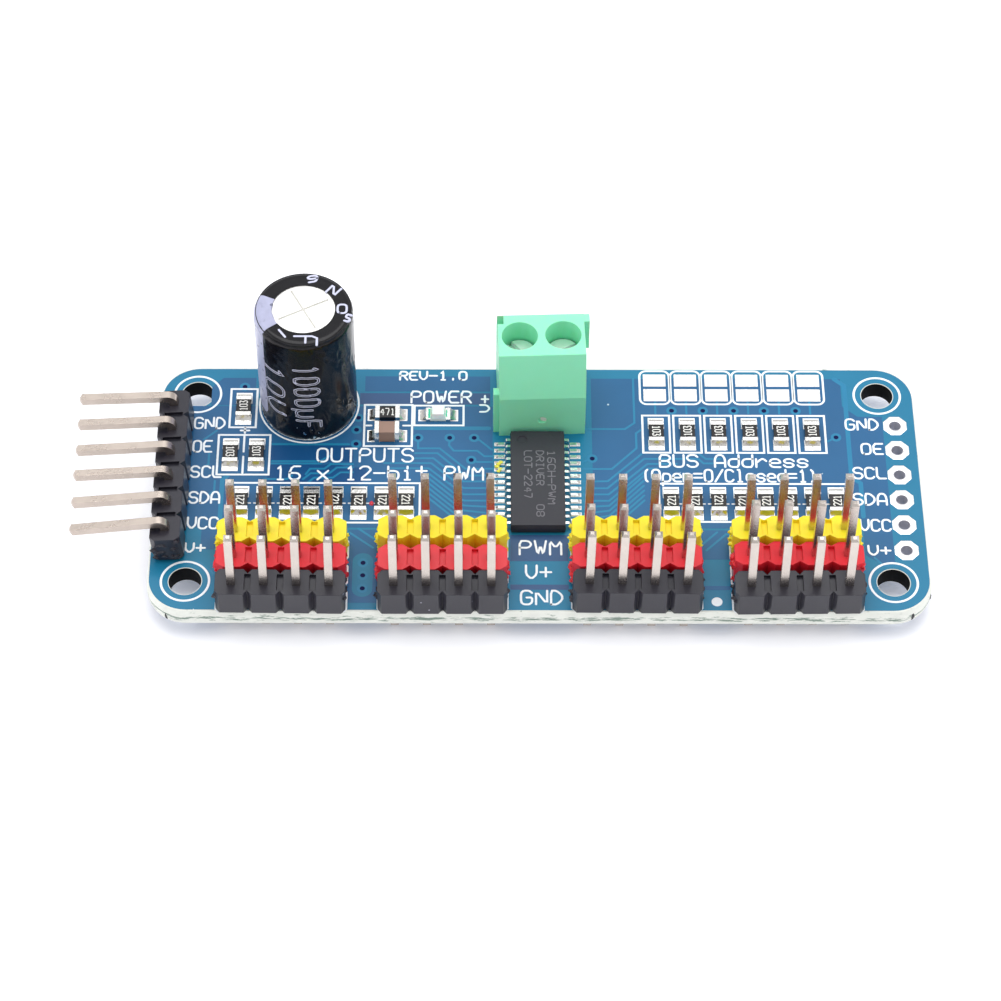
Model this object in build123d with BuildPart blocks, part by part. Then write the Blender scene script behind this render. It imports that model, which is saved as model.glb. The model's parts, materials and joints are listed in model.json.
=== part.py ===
"""Sixteen-channel servo driver board, in millimetres.

The origin is on the underside of the board, in the middle of its four mounting holes.
+X runs along the board, +Y points to the edge with the power terminal, +Z points up.
"""

import os
from math import cos, radians, sin

from build123d import *

# ---- board ----
board_length = 62.0
board_width = 25.1
board_thickness = 1.6
board_corner_radius = 3.2
score_depth = 0.15  # the long edges are snapped from a scored panel, which leaves a middle ridge
score_height = 0.5
mount_inset_x = 3.06  # from the board's ends and edges to its mounting holes: 55.88 x 19.05 between them
mount_inset_y = 3.025
mount_hole_diameter = 2.6

# ---- pin headers ----
pitch = 2.54
pin_width = 0.64
pin_tail = 3.0  # below the strip
pin_rise = 6.06  # above the strip
pin_chamfer = 0.18
hole_clearance = 0.075  # between a pin's corners and its hole
strip_height = 2.54
strip_gap = 0.14  # between the strips of neighbouring rows
notch_width = {"ground": 0.65, "power": 1.2, "signal": 1.2}  # break-off notches between the pins
notch_depth = 0.4
slot_width = 0.5  # shallow slot on top of the strip between two pins
slot_length = 1.5
slot_depth = 0.3

pins_per_strip = 4
group_steps = (-8, -3, 3, 8)  # the middles of the four groups, in pitches from the middle of the board
row_names = ("ground", "power", "signal")
ground_row_inset = 1.12  # from the board's front edge
# How far each strip leans, as hand-soldered strips do: degrees towards +Y, degrees towards +X
strip_lean = {
    "ground": ((-2.0, 1.0), (-0.9, 0.0), (1.2, 0.6), (-1.8, -1.0)),
    "power": ((0.9, 0.4), (-1.8, 0.0), (2.0, 0.4), (4.2, 0.6)),
    "signal": ((0.8, 0.2), (4.4, -0.6), (4.4, 0.3), (4.3, -0.8)),
}

# ---- bus header on the left, and the matching row of empty holes on the right ----
bus_pin_count = 6
bus_column_inset = 1.79  # from the board's ends
bus_header_lean = 4.5  # outwards
bus_header_gap = 0.2  # the strip isn't pushed quite down to the board
bus_pin_bend_height = 0.75  # from the strip's top to the middle of the level run
bus_pin_bend_radius = 0.5
bus_pin_reach = 7.55  # from the upright's axis to the tip
bus_pin_droop = (4.0, 2.5, 0.5, 0.5, -0.5, -1.5)  # degrees each pin is bent past square, from the front

# ---- solder joints under the board ----
solder_radius = 0.95
solder_tip_radius = 0.62
solder_height = 0.9

# ---- capacitor ----
capacitor_x = -18.75
capacitor_setback = 0.05  # from the board's back edge
capacitor_diameter = 8.0
capacitor_height = 12.0
sleeve_wall = 0.12
sleeve_lip = 0.66  # width of the flat ring that the sleeve leaves on the can's top
can_wall = 0.3
can_edge_radius = 0.7
bead_height = 2.1
bead_depth = 0.2
bead_width = 0.9
vent_width = 0.16
vent_depth = 0.1
vent_margin = 0.32  # from the ends of the vent's scores to the sleeve
vent_angle = 28
bung_height = 1.5
winding_clearance = 0.2
winding_end_room = 0.6
core_radius = 0.5
lead_diameter = 0.6
lead_spacing = 3.5
lead_tail = 1.2  # below the board
lead_hole_clearance = 0.15

# ---- power terminal: lengths in its own frame, which stands on the board ----
terminal_x = 0.2
terminal_setback = 0.2  # from the board's back edge
terminal_turn = 2.0  # degrees; it is soldered slightly askew
terminal_pitch = 3.5
terminal_depth = 7.0
terminal_height = 8.5
terminal_step_height = 4.6
terminal_top_front = -2.2
terminal_top_back = 2.1
terminal_back_shoulder = 5.6
pole_y = -0.1
cage_width = 2.6
cage_length = 3.6
cage_standoff = 0.4
cage_floor_wall = 0.6
cage_side_wall = 0.3
cage_top_wall = 1.1
wire_height = 2.3
wire_hole_width = 2.2
wire_funnel = 0.3
pocket_clearance = 0.05
pocket_end_room = 0.45
pocket_head_room = 0.1
leg_width = 0.9
leg_thickness = 0.5
leg_tail = 1.4  # below the board
leg_hole_clearance = 0.1
rib_out = 0.45
groove_clearance = 0.05
upper_rib_y = 1.25
upper_rib_depth = 0.8
upper_rib_low = 5.2
lower_rib_y = -3.1
lower_rib_depth = 0.7
lower_rib_height = 4.8
gate_diameter = 0.75
gate_depth = 0.12
gate_height = 1.9

# ---- terminal screws, which push the wire clamps down ----
screw_pitch = 0.4
screw_turns_up = 2.0
screw_diameter = 2.0
screw_head_diameter = 2.7
screw_head_height = 1.0
screw_head_edge = 0.12
screw_slot_width = 0.45
screw_slot_depth = 0.5
screw_recess = 1.95  # from the housing's top down to the head, as it stands on the board
screw_slot_angles = (-50, 25)
running_clearance = 0.05
well_clearance = 0.1
clamp_thickness = 0.3
clamp_lip_thickness = 0.2
clamp_lip_height = 1.0
clamp_clearance = 0.1
clamp_screw_gap = 0.02

# ---- driver chip ----
chip_x = -0.07
chip_terminal_gap = 0.4
chip_width = 4.4
chip_length = 9.7
chip_body_height = 0.95
chip_standoff = 0.1
chip_draft = 7
chip_span = 6.4
chip_lead_pitch = 0.65
chip_leads_per_side = 14
chip_lead_width = 0.24
chip_lead_thickness = 0.14
chip_lead_shoulder = 0.3
chip_lead_foot = 0.6
chip_lead_inside = 0.45
chip_lead_bend = 0.1
dimple_diameter = 0.8
dimple_depth = 0.06
dimple_inset = 0.95
paddle_width = 2.7
paddle_length = 5.0
die_width = 2.2
die_length = 3.4
die_height = 0.2

# ---- resistors, bypass capacitor and power light ----
resistor_length = 2.0
resistor_width = 1.25
resistor_height = 0.5
end_cap_length = 0.36
end_cap_wall = 0.03
channel_resistor_pitch = 1.9
channel_resistor_y = -1.72
channel_bank_x = 17.3
channel_resistors_per_bank = 8
address_bank_x = 16.0
address_resistor_y = 5.43
address_resistor_count = 6
back_pullup_gap = 0.725  # from the capacitor
back_pullup_y = 8.0
front_pullup_places = ((-24.97, 3.2), (-22.85, 3.2))
light_resistor_place = (-12.3, 7.38)
bypass_place = (-12.3, 5.17)
bypass_height = 1.25
light_place = (-8.15, 7.34)
light_base_height = 0.3
lens_length = 1.2
lens_width = 1.15
lens_height = 0.5
lens_draft = 12

# ---- worked out from the values above ----
top = board_thickness
front_edge = -board_width / 2
back_edge = board_width / 2
mount_spacing = (board_length - 2 * mount_inset_x, board_width - 2 * mount_inset_y)
pin_hole_diameter = 2**0.5 * pin_width + 2 * hole_clearance
lead_hole_diameter = lead_diameter + 2 * lead_hole_clearance
leg_hole_diameter = (leg_width**2 + leg_thickness**2) ** 0.5 + 2 * leg_hole_clearance
strip_depth = pitch - strip_gap
bus_column_x = board_length / 2 - bus_column_inset
bus_pin_ys = [(i - (bus_pin_count - 1) / 2) * pitch for i in range(bus_pin_count)]
row_ys = {row: front_edge + ground_row_inset + i * pitch for i, row in enumerate(row_names)}
group_centres = [step * pitch for step in group_steps]
group_xs = [(i - (pins_per_strip - 1) / 2) * pitch for i in range(pins_per_strip)]
servo_holes = [(x + dx, y) for y in row_ys.values() for x in group_centres for dx in group_xs]
bus_holes = [(side * bus_column_x, y) for side in (-1, 1) for y in bus_pin_ys]
capacitor_y = back_edge - capacitor_setback - capacitor_diameter / 2
lead_holes = [(capacitor_x + side * lead_spacing / 2, capacitor_y) for side in (-1, 1)]

terminal_y = back_edge - terminal_setback - terminal_depth / 2
terminal_width = 2 * terminal_pitch
terminal = Plane(origin=(terminal_x, terminal_y, top)).rotated((0, 0, terminal_turn))
terminal_side = Plane(origin=terminal.origin, x_dir=terminal.y_dir, z_dir=terminal.x_dir)
terminal_back = Plane(
    origin=terminal.origin + terminal.y_dir * terminal_depth / 2,
    x_dir=-terminal.x_dir,
    z_dir=terminal.y_dir,
)
terminal_front = Plane(
    origin=terminal.origin - terminal.y_dir * terminal_depth / 2,
    x_dir=terminal.x_dir,
    z_dir=-terminal.y_dir,
)
pole_xs = (-terminal_pitch / 2, terminal_pitch / 2)
poles = [(x, pole_y) for x in pole_xs]
leg_holes = [tuple(terminal.from_local_coords((x, y, 0)))[:2] for x, y in poles]
cage_roof = cage_standoff + cage_floor_wall + wire_height + cage_top_wall
pocket_roof = cage_roof + pocket_head_room
clamp_top = cage_roof - cage_top_wall - screw_turns_up * screw_pitch - running_clearance
screw_top = terminal_height - screw_recess

can_radius = capacitor_diameter / 2 - sleeve_wall
can_low = top + sleeve_wall
can_high = top + capacitor_height - sleeve_wall
sleeve_opening_radius = can_radius - can_edge_radius - sleeve_lip
vent_length = 2 * (sleeve_opening_radius - vent_margin)
back_pullup_x = capacitor_x - capacitor_diameter / 2 - back_pullup_gap - resistor_width / 2
chip_y = terminal_y - terminal_depth / 2 - chip_terminal_gap - chip_length / 2


def save(piece, name):
    """Labels a finished piece and writes it as parts/NAME.step."""
    piece.part.label = name
    export_step(piece.part, f"parts/{name}.step")


def seat_plane(x, y, lean_y, lean_x, half_y, half_x, gap=0.0):
    """The underside of a header strip centred over (x, y), leaning by two angles.

    It tilts about the middle of its holes, and rises until its low edge rests on the board.
    """
    tilted = Plane(origin=(x, y, board_thickness / 2)).rotated((-lean_y, lean_x, 0))
    drop = half_y * sin(radians(abs(lean_y))) + half_x * sin(radians(abs(lean_x)))
    rise = (board_thickness / 2 + drop) / (cos(radians(lean_y)) * cos(radians(lean_x)))
    return tilted.offset(rise + gap)


def strip_housing(plane, count, notch):
    """The plastic of a header strip that runs along its plane's X, with square pin holes."""
    boundaries = [(i - count / 2) * pitch for i in range(count + 1)]
    notches = [Location((x, strip_depth / 2, 0)) for x in boundaries]
    notches += [Location((x, -strip_depth / 2, 0), (0, 0, 180)) for x in boundaries]
    with BuildPart() as housing:
        with BuildSketch(plane):
            Rectangle(count * pitch, strip_depth)
            with Locations(*notches):
                Polygon((-notch / 2, 0), (0, -notch_depth), (notch / 2, 0), align=None, mode=Mode.SUBTRACT)
            with GridLocations(pitch, 0, count, 1):
                Rectangle(pin_width, pin_width, mode=Mode.SUBTRACT)
        extrude(amount=strip_height)
        with BuildSketch(plane.offset(strip_height)):
            with Locations(*[(x, 0) for x in boundaries[1:-1]]):
                Rectangle(slot_width, slot_length)
        extrude(amount=-slot_depth, mode=Mode.SUBTRACT)
    return housing


def straight_pins(plane, count):
    """Square pins through a strip, with chamfered ends."""
    along = Axis(plane.origin, plane.z_dir)
    with BuildPart() as pins:
        with BuildSketch(plane.offset(-pin_tail)):
            with GridLocations(pitch, 0, count, 1):
                Rectangle(pin_width, pin_width)
        extrude(amount=pin_tail + strip_height + pin_rise)
        ends = pins.faces().group_by(along)
        chamfer((ends[0] + ends[-1]).edges(), pin_chamfer)
    return pins


def bent_pins(plane, droops):
    """Square pins that rise through a strip along its plane's X and bend over to its plane's +Y."""
    level = strip_height + bus_pin_bend_height
    with BuildPart() as pins:
        for x, droop in zip(bus_pin_ys, droops):
            tip = (bus_pin_reach, level - bus_pin_reach * sin(radians(droop)))
            origin = plane.from_local_coords((x, 0, 0))
            with BuildSketch(Plane(origin=origin, x_dir=plane.y_dir, z_dir=plane.x_dir)):
                with BuildLine():
                    FilletPolyline((0, -pin_tail), (0, level), tip, radius=bus_pin_bend_radius)
                trace(line_width=pin_width)
            extrude(amount=pin_width / 2, both=True)
        tips = pins.faces().filter_by(GeomType.PLANE).sort_by(Axis.X)[: len(droops)]
        tails = pins.faces().sort_by(Axis.Z)[: len(droops)]
        chamfer((tips + tails).edges(), pin_chamfer)
    return pins


def make_board():
    """The bare board, drilled for the headers, terminal and capacitor."""
    with BuildPart() as board:
        with BuildSketch():
            RectangleRounded(board_length, board_width, board_corner_radius)
            with Locations(*servo_holes, *bus_holes):
                Circle(pin_hole_diameter / 2, mode=Mode.SUBTRACT)
            with Locations(*lead_holes):
                Circle(lead_hole_diameter / 2, mode=Mode.SUBTRACT)
            with Locations(*leg_holes):
                Circle(leg_hole_diameter / 2, mode=Mode.SUBTRACT)
            with GridLocations(*mount_spacing, 2, 2):
                Circle(mount_hole_diameter / 2, mode=Mode.SUBTRACT)
        extrude(amount=board_thickness)
        for end in (0, -1):
            face = board.faces().filter_by(Axis.Z).group_by(Axis.Z)[end].sort_by(SortBy.AREA)[-1]
            long_edges = face.edges().filter_by(Axis.X)
            chamfer(long_edges, length=score_depth, length2=score_height, reference=face)
    save(board, "circuit_board")


def make_servo_headers():
    """Twelve four-pin strips: ground, power and signal for each of the four groups."""
    all_pins = []
    for row in row_names:
        for number, (centre, (lean_y, lean_x)) in enumerate(zip(group_centres, strip_lean[row]), 1):
            half_x = pins_per_strip * pitch / 2
            plane = seat_plane(centre, row_ys[row], lean_y, lean_x, strip_depth / 2, half_x)
            save(strip_housing(plane, pins_per_strip, notch_width[row]), f"{row}_housing_{number}")
            pins = straight_pins(plane, pins_per_strip)
            save(pins, f"{row}_pins_{number}")
            all_pins.append(pins)
    return all_pins


def make_bus_header():
    """The six-pin header on the left, whose pins bend over to lie level past the board's end."""
    seat = seat_plane(-bus_column_x, 0, 0, -bus_header_lean, 0, strip_depth / 2, bus_header_gap)
    along_y = Plane(origin=seat.origin, x_dir=seat.y_dir, z_dir=seat.z_dir)
    save(strip_housing(along_y, bus_pin_count, notch_width["ground"]), "bus_header_housing")
    pins = bent_pins(along_y, bus_pin_droop)
    save(pins, "bus_header_pins")
    return pins


def make_solder(through_parts):
    """A cone of solder under every filled hole, shaped round whatever comes through."""
    filled = servo_holes + bus_holes[:bus_pin_count] + lead_holes + leg_holes
    with BuildPart() as joints:
        with Locations(*filled):
            Cone(
                solder_tip_radius,
                solder_radius,
                solder_height,
                align=(Align.CENTER, Align.CENTER, Align.MAX),
            )
        for through in through_parts:
            add(through.part, mode=Mode.SUBTRACT)
    save(joints, "solder_joints")


def can_outline(radius, high, edge_radius, inner):
    """Draws half of the can's outline: up the beaded side, round the edge and in to a radius."""
    bead_z = top + bead_height
    below = (radius, bead_z - bead_width / 2)
    above = (radius, bead_z + bead_width / 2)
    Line((radius, can_low), below)
    ThreePointArc(below, (radius - bead_depth, bead_z), above)
    Line(above, (radius, high - edge_radius))
    corner = (radius - edge_radius, high - edge_radius)
    CenterArc(corner, edge_radius, 0, 90)
    Line((radius - edge_radius, high), (inner, high))


def make_capacitor():
    """The reservoir capacitor: can, printed sleeve, rubber bung, winding and leads."""
    side = Plane(origin=(capacitor_x, capacitor_y, 0), x_dir=(1, 0, 0), z_dir=(0, -1, 0))
    axis = Axis((capacitor_x, capacitor_y, 0), (0, 0, 1))
    inside = can_radius - can_wall
    roof = can_high - can_wall
    bead_z = top + bead_height

    with BuildPart() as sleeve:
        with BuildSketch(side):
            with BuildLine():
                sleeve_high = can_high + sleeve_wall
                sleeve_edge = can_edge_radius + sleeve_wall
                can_outline(can_radius, can_high, can_edge_radius, sleeve_opening_radius)
                can_outline(can_radius + sleeve_wall, sleeve_high, sleeve_edge, sleeve_opening_radius)
                Line((can_radius, can_low), (can_radius + sleeve_wall, can_low))
                Line((sleeve_opening_radius, can_high), (sleeve_opening_radius, sleeve_high))
            make_face()
        revolve(axis=axis)
    save(sleeve, "capacitor_sleeve")

    with BuildPart() as can:
        with BuildSketch(side):
            with BuildLine():
                can_outline(can_radius, can_high, can_edge_radius, 0)
                can_outline(inside, roof, can_edge_radius - can_wall, 0)
                Line((inside, can_low), (can_radius, can_low))
                Line((0, roof), (0, can_high))
            make_face()
        revolve(axis=axis)
        with BuildSketch(Plane(origin=(capacitor_x, capacitor_y, can_high))):
            for angle in (vent_angle, vent_angle + 90):
                Rectangle(vent_length, vent_width, rotation=angle)
        extrude(amount=-vent_depth, mode=Mode.SUBTRACT)
    save(can, "capacitor_can")

    with BuildPart() as bung:
        with BuildSketch(Plane.XY.offset(can_low)):
            with Locations((capacitor_x, capacitor_y)):
                Circle(inside)
            with Locations(*lead_holes):
                Circle(lead_diameter / 2, mode=Mode.SUBTRACT)
        extrude(amount=bung_height)
    save(bung, "capacitor_bung")

    winding_low = bead_z + bead_width / 2 + winding_clearance
    with BuildPart() as winding:
        with BuildSketch(Plane(origin=(capacitor_x, capacitor_y, winding_low))):
            Circle(inside - winding_clearance)
            Circle(core_radius, mode=Mode.SUBTRACT)
        extrude(amount=roof - winding_end_room - winding_low)
    save(winding, "capacitor_winding")

    with BuildPart() as leads:
        with BuildSketch(Plane.XY.offset(-lead_tail)):
            with Locations(*lead_holes):
                Circle(lead_diameter / 2)
        extrude(amount=lead_tail + can_low + bung_height)
    save(leads, "capacitor_leads")
    return leads


def make_terminal_housing():
    """The two-pole housing: screw wells above, cage pockets below, wire holes at the back."""
    half_width = terminal_width / 2
    pocket_size = (cage_width + 2 * pocket_clearance, cage_length + 2 * pocket_end_room)
    wall_end = terminal_depth / 2 - pole_y - pocket_size[1] / 2
    wire_middle = cage_standoff + cage_floor_wall + wire_height / 2
    with BuildPart() as housing:
        with BuildSketch(terminal_side):
            with BuildLine():
                Polyline(
                    (-terminal_depth / 2, 0),
                    (-terminal_depth / 2, terminal_step_height),
                    (terminal_top_front, terminal_height),
                    (terminal_top_back, terminal_height),
                    (terminal_depth / 2, terminal_back_shoulder),
                    (terminal_depth / 2, 0),
                    close=True,
                )
            make_face()
        extrude(amount=half_width, both=True)
        # interlocking ribs for a neighbour: one up on the right, one down on the left
        with BuildSketch(terminal.offset(terminal_height)):
            with Locations((half_width, upper_rib_y)):
                Rectangle(rib_out, upper_rib_depth, align=(Align.MIN, Align.MIN))
        extrude(amount=upper_rib_low - terminal_height)
        with BuildSketch(terminal):
            with Locations((-half_width, lower_rib_y)):
                Rectangle(rib_out, lower_rib_depth, align=(Align.MAX, Align.MIN))
        extrude(amount=lower_rib_height)
        # and the grooves that take a neighbour's ribs
        room = groove_clearance
        with BuildSketch(terminal.offset(terminal_height)):
            with Locations((-half_width, upper_rib_y - room)):
                Rectangle(rib_out + room, upper_rib_depth + 2 * room, align=(Align.MIN, Align.MIN))
        extrude(amount=upper_rib_low - room - terminal_height, mode=Mode.SUBTRACT)
        with BuildSketch(terminal):
            with Locations((half_width, lower_rib_y - room)):
                Rectangle(rib_out + room, lower_rib_depth + 2 * room, align=(Align.MAX, Align.MIN))
        extrude(amount=lower_rib_height + room, mode=Mode.SUBTRACT)
        # pockets, wells and wire holes
        with BuildSketch(terminal):
            with Locations(*poles):
                Rectangle(*pocket_size)
        extrude(amount=pocket_roof, mode=Mode.SUBTRACT)
        with BuildSketch(terminal.offset(terminal_height)):
            with Locations(*poles):
                Circle(screw_head_diameter / 2 + well_clearance)
        extrude(amount=pocket_roof - terminal_height, mode=Mode.SUBTRACT)
        with BuildSketch(terminal_back):
            with Locations(*[(x, wire_middle) for x in pole_xs]):
                Rectangle(wire_hole_width, wire_height)
        extrude(amount=-wall_end, mode=Mode.SUBTRACT)
        back = housing.faces().sort_by(Axis(terminal.origin, terminal.y_dir))[-1]
        chamfer([edge for hole in back.inner_wires() for edge in hole.edges()], wire_funnel)
        # the moulding gate's mark on the front
        with BuildSketch(terminal_front):
            with Locations((0, gate_height)):
                Circle(gate_diameter / 2)
        extrude(amount=-gate_depth, mode=Mode.SUBTRACT)
    save(housing, "terminal_housing")


def make_terminal_poles():
    """Each pole's cage with its solder leg, its wire clamp and its screw."""
    cages = []
    floor_top = cage_standoff + cage_floor_wall
    passage_width = cage_width - 2 * cage_side_wall
    clamp_length = cage_length + 2 * (clamp_clearance + clamp_lip_thickness)
    for number, (place, slot_angle) in enumerate(zip(poles, screw_slot_angles), 1):
        with BuildPart() as cage:
            with BuildSketch(terminal.offset(cage_standoff)):
                with Locations(place):
                    Rectangle(cage_width, cage_length)
            extrude(amount=cage_roof - cage_standoff)
            with BuildSketch(terminal.offset(floor_top)):
                with Locations(place):
                    Rectangle(passage_width, cage_length)
            extrude(amount=wire_height, mode=Mode.SUBTRACT)
            with BuildSketch(terminal.offset(cage_roof)):
                with Locations(place):
                    Circle(screw_diameter / 2 + running_clearance)
            extrude(amount=-cage_top_wall, mode=Mode.SUBTRACT)
            with BuildSketch(terminal.offset(cage_standoff)):
                with Locations(place):
                    Rectangle(leg_width, leg_thickness)
            extrude(amount=-(cage_standoff + board_thickness + leg_tail))
        save(cage, f"terminal_cage_{number}")
        cages.append(cage)

        with BuildPart() as clamp:
            with BuildSketch(terminal.offset(clamp_top - clamp_thickness)):
                with Locations(place):
                    Rectangle(passage_width - 2 * clamp_clearance, clamp_length)
            extrude(amount=clamp_thickness + clamp_lip_height)
            with BuildSketch(terminal.offset(clamp_top)):
                with Locations(place):
                    Rectangle(passage_width, clamp_length - 2 * clamp_lip_thickness)
            extrude(amount=clamp_lip_height, mode=Mode.SUBTRACT)
        save(clamp, f"wire_clamp_{number}")

        with BuildPart() as screw:
            with BuildSketch(terminal.offset(screw_top - screw_head_height)):
                with Locations(place):
                    Circle(screw_head_diameter / 2)
            extrude(amount=screw_head_height)
            rims = screw.edges().filter_by(GeomType.CIRCLE)
            chamfer(rims, screw_head_edge)
            with BuildSketch(terminal.offset(screw_top)):
                with Locations(place):
                    Rectangle(screw_head_diameter, screw_slot_width, rotation=slot_angle)
            extrude(amount=-screw_slot_depth, mode=Mode.SUBTRACT)
            with BuildSketch(terminal.offset(screw_top - screw_head_height)):
                with Locations(place):
                    Circle(screw_diameter / 2)
            extrude(amount=clamp_top + clamp_screw_gap - (screw_top - screw_head_height))
        save(screw, f"terminal_screw_{number}")
    return cages


def make_chip():
    """The driver chip: moulded body, gull-wing leads, and the die on its paddle inside."""
    middle = top + chip_standoff + chip_body_height / 2
    foot_z = chip_lead_thickness / 2
    lead_z = middle - top
    lead_ys = [
        chip_y + (i - (chip_leads_per_side - 1) / 2) * chip_lead_pitch for i in range(chip_leads_per_side)
    ]
    with BuildPart() as leads:
        for side in (-1, 1):
            for y in lead_ys:
                plane = Plane(origin=(chip_x, y, top), x_dir=(side, 0, 0), z_dir=(0, -side, 0))
                with BuildSketch(plane):
                    with BuildLine():
                        FilletPolyline(
                            (chip_width / 2 - chip_lead_inside, lead_z),
                            (chip_width / 2 + chip_lead_shoulder, lead_z),
                            (chip_span / 2 - chip_lead_foot, foot_z),
                            (chip_span / 2, foot_z),
                            radius=chip_lead_bend,
                        )
                    trace(line_width=chip_lead_thickness)
                extrude(amount=chip_lead_width / 2, both=True)
    save(leads, "driver_chip_leads")

    centre = Plane(origin=(chip_x, chip_y, middle))
    with BuildPart() as paddle:
        with BuildSketch(centre.offset(-chip_lead_thickness)):
            Rectangle(paddle_width, paddle_length)
        extrude(amount=chip_lead_thickness)
    save(paddle, "driver_chip_paddle")
    with BuildPart() as die:
        with BuildSketch(centre):
            Rectangle(die_width, die_length)
        extrude(amount=die_height)
    save(die, "driver_chip_die")

    with BuildPart() as body:
        for up in (1, -1):
            with BuildSketch(centre):
                Rectangle(chip_width, chip_length)
            extrude(amount=chip_body_height / 2, dir=(0, 0, up), taper=chip_draft)
        for inside in (leads, paddle, die):
            add(inside.part, mode=Mode.SUBTRACT)
        with BuildSketch(centre.offset(chip_body_height / 2)):
            with Locations((dimple_inset - chip_width / 2, chip_length / 2 - dimple_inset)):
                Circle(dimple_diameter / 2)
        extrude(amount=-dimple_depth, mode=Mode.SUBTRACT)
    save(body, "driver_chip_body")


def make_chip_parts(name, places, height, turn):
    """Two-ended chip parts that lie on the board: their bodies, and their metal end caps."""
    reach = (resistor_length - end_cap_length) / 2
    step = (reach * cos(radians(turn)), reach * sin(radians(turn)))
    cap_places = [(x + s * step[0], y + s * step[1]) for x, y in places for s in (-1, 1)]
    wall = end_cap_wall
    with BuildPart() as bodies:
        with BuildSketch(Plane.XY.offset(top + wall)):
            with Locations(*places):
                Rectangle(resistor_length - 2 * wall, resistor_width - 2 * wall, rotation=turn)
        extrude(amount=height - 2 * wall)
    save(bodies, name)
    with BuildPart() as caps:
        with BuildSketch(Plane.XY.offset(top)):
            with Locations(*cap_places):
                Rectangle(end_cap_length, resistor_width, rotation=turn)
        extrude(amount=height)
        add(bodies.part, mode=Mode.SUBTRACT)
    save(caps, f"{name}_caps")


def make_light():
    """The power light's lens, on top of its capped base."""
    make_chip_parts("power_light_base", [light_place], light_base_height, 0)
    with BuildPart() as lens:
        with BuildSketch(Plane.XY.offset(top + light_base_height - end_cap_wall)):
            with Locations(light_place):
                Rectangle(lens_length, lens_width)
        extrude(amount=lens_height, taper=lens_draft)
    save(lens, "power_light_lens")


def make_resistors_and_capacitor():
    """The resistor banks and the bypass capacitor."""
    bank = [
        (i - (channel_resistors_per_bank - 1) / 2) * channel_resistor_pitch
        for i in range(channel_resistors_per_bank)
    ]
    for side, number in ((-1, 1), (1, 2)):
        places = [(side * channel_bank_x + x, channel_resistor_y) for x in bank]
        make_chip_parts(f"channel_resistors_{number}", places, resistor_height, 90)
    address_places = [
        (address_bank_x + (i - (address_resistor_count - 1) / 2) * pitch, address_resistor_y)
        for i in range(address_resistor_count)
    ]
    make_chip_parts("address_resistors", address_places, resistor_height, 90)
    pullup_places = [(back_pullup_x, back_pullup_y), *front_pullup_places]
    make_chip_parts("pull_up_resistors", pullup_places, resistor_height, 90)
    make_chip_parts("light_resistor", [light_resistor_place], resistor_height, 0)
    make_chip_parts("bypass_capacitor", [bypass_place], bypass_height, 0)


os.makedirs("parts", exist_ok=True)
make_board()
through_board = make_servo_headers()
through_board.append(make_bus_header())
through_board.append(make_capacitor())
make_terminal_housing()
through_board += make_terminal_poles()
make_solder(through_board)
make_chip()
make_resistors_and_capacitor()
make_light()
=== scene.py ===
import json
import math

import bmesh
import bpy
import mathutils
import numpy as np
from mathutils.geometry import convex_hull_2d
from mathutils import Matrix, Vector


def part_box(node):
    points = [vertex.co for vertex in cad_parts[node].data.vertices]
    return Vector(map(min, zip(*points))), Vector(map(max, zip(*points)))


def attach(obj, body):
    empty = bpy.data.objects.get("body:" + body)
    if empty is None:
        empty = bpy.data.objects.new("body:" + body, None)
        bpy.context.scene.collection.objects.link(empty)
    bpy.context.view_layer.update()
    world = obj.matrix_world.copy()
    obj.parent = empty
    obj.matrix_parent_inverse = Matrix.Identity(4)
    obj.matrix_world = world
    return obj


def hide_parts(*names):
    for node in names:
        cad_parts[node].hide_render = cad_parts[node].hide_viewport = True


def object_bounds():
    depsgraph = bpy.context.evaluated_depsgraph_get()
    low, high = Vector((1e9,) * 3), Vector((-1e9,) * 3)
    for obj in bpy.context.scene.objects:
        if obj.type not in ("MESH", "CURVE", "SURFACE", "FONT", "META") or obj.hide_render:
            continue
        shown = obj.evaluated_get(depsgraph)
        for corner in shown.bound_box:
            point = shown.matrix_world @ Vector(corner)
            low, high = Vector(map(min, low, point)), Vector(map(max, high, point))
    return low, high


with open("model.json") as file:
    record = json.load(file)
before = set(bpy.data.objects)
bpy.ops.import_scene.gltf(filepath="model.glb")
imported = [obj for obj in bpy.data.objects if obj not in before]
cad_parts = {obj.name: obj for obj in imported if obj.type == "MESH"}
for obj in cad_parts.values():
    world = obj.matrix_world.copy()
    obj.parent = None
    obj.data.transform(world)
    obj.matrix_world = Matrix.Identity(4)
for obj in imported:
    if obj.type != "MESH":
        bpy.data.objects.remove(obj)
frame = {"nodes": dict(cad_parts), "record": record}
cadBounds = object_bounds()
nodes = frame["nodes"]
record = frame["record"]
mm = 0.001
print("frame loaded:", len(nodes), "nodes")


# places read from the frame, in mm
def boxOf(node):
    low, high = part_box(node)
    return np.array(low) / mm, np.array(high) / mm


def middleOf(node):
    low, high = boxOf(node)
    return (low + high) / 2


def mountPlace(name):
    found = [m for m in record["mounts"] if m["name"] == name][0]
    return np.array(found["pos_m"]) / mm, found["dims"]


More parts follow.
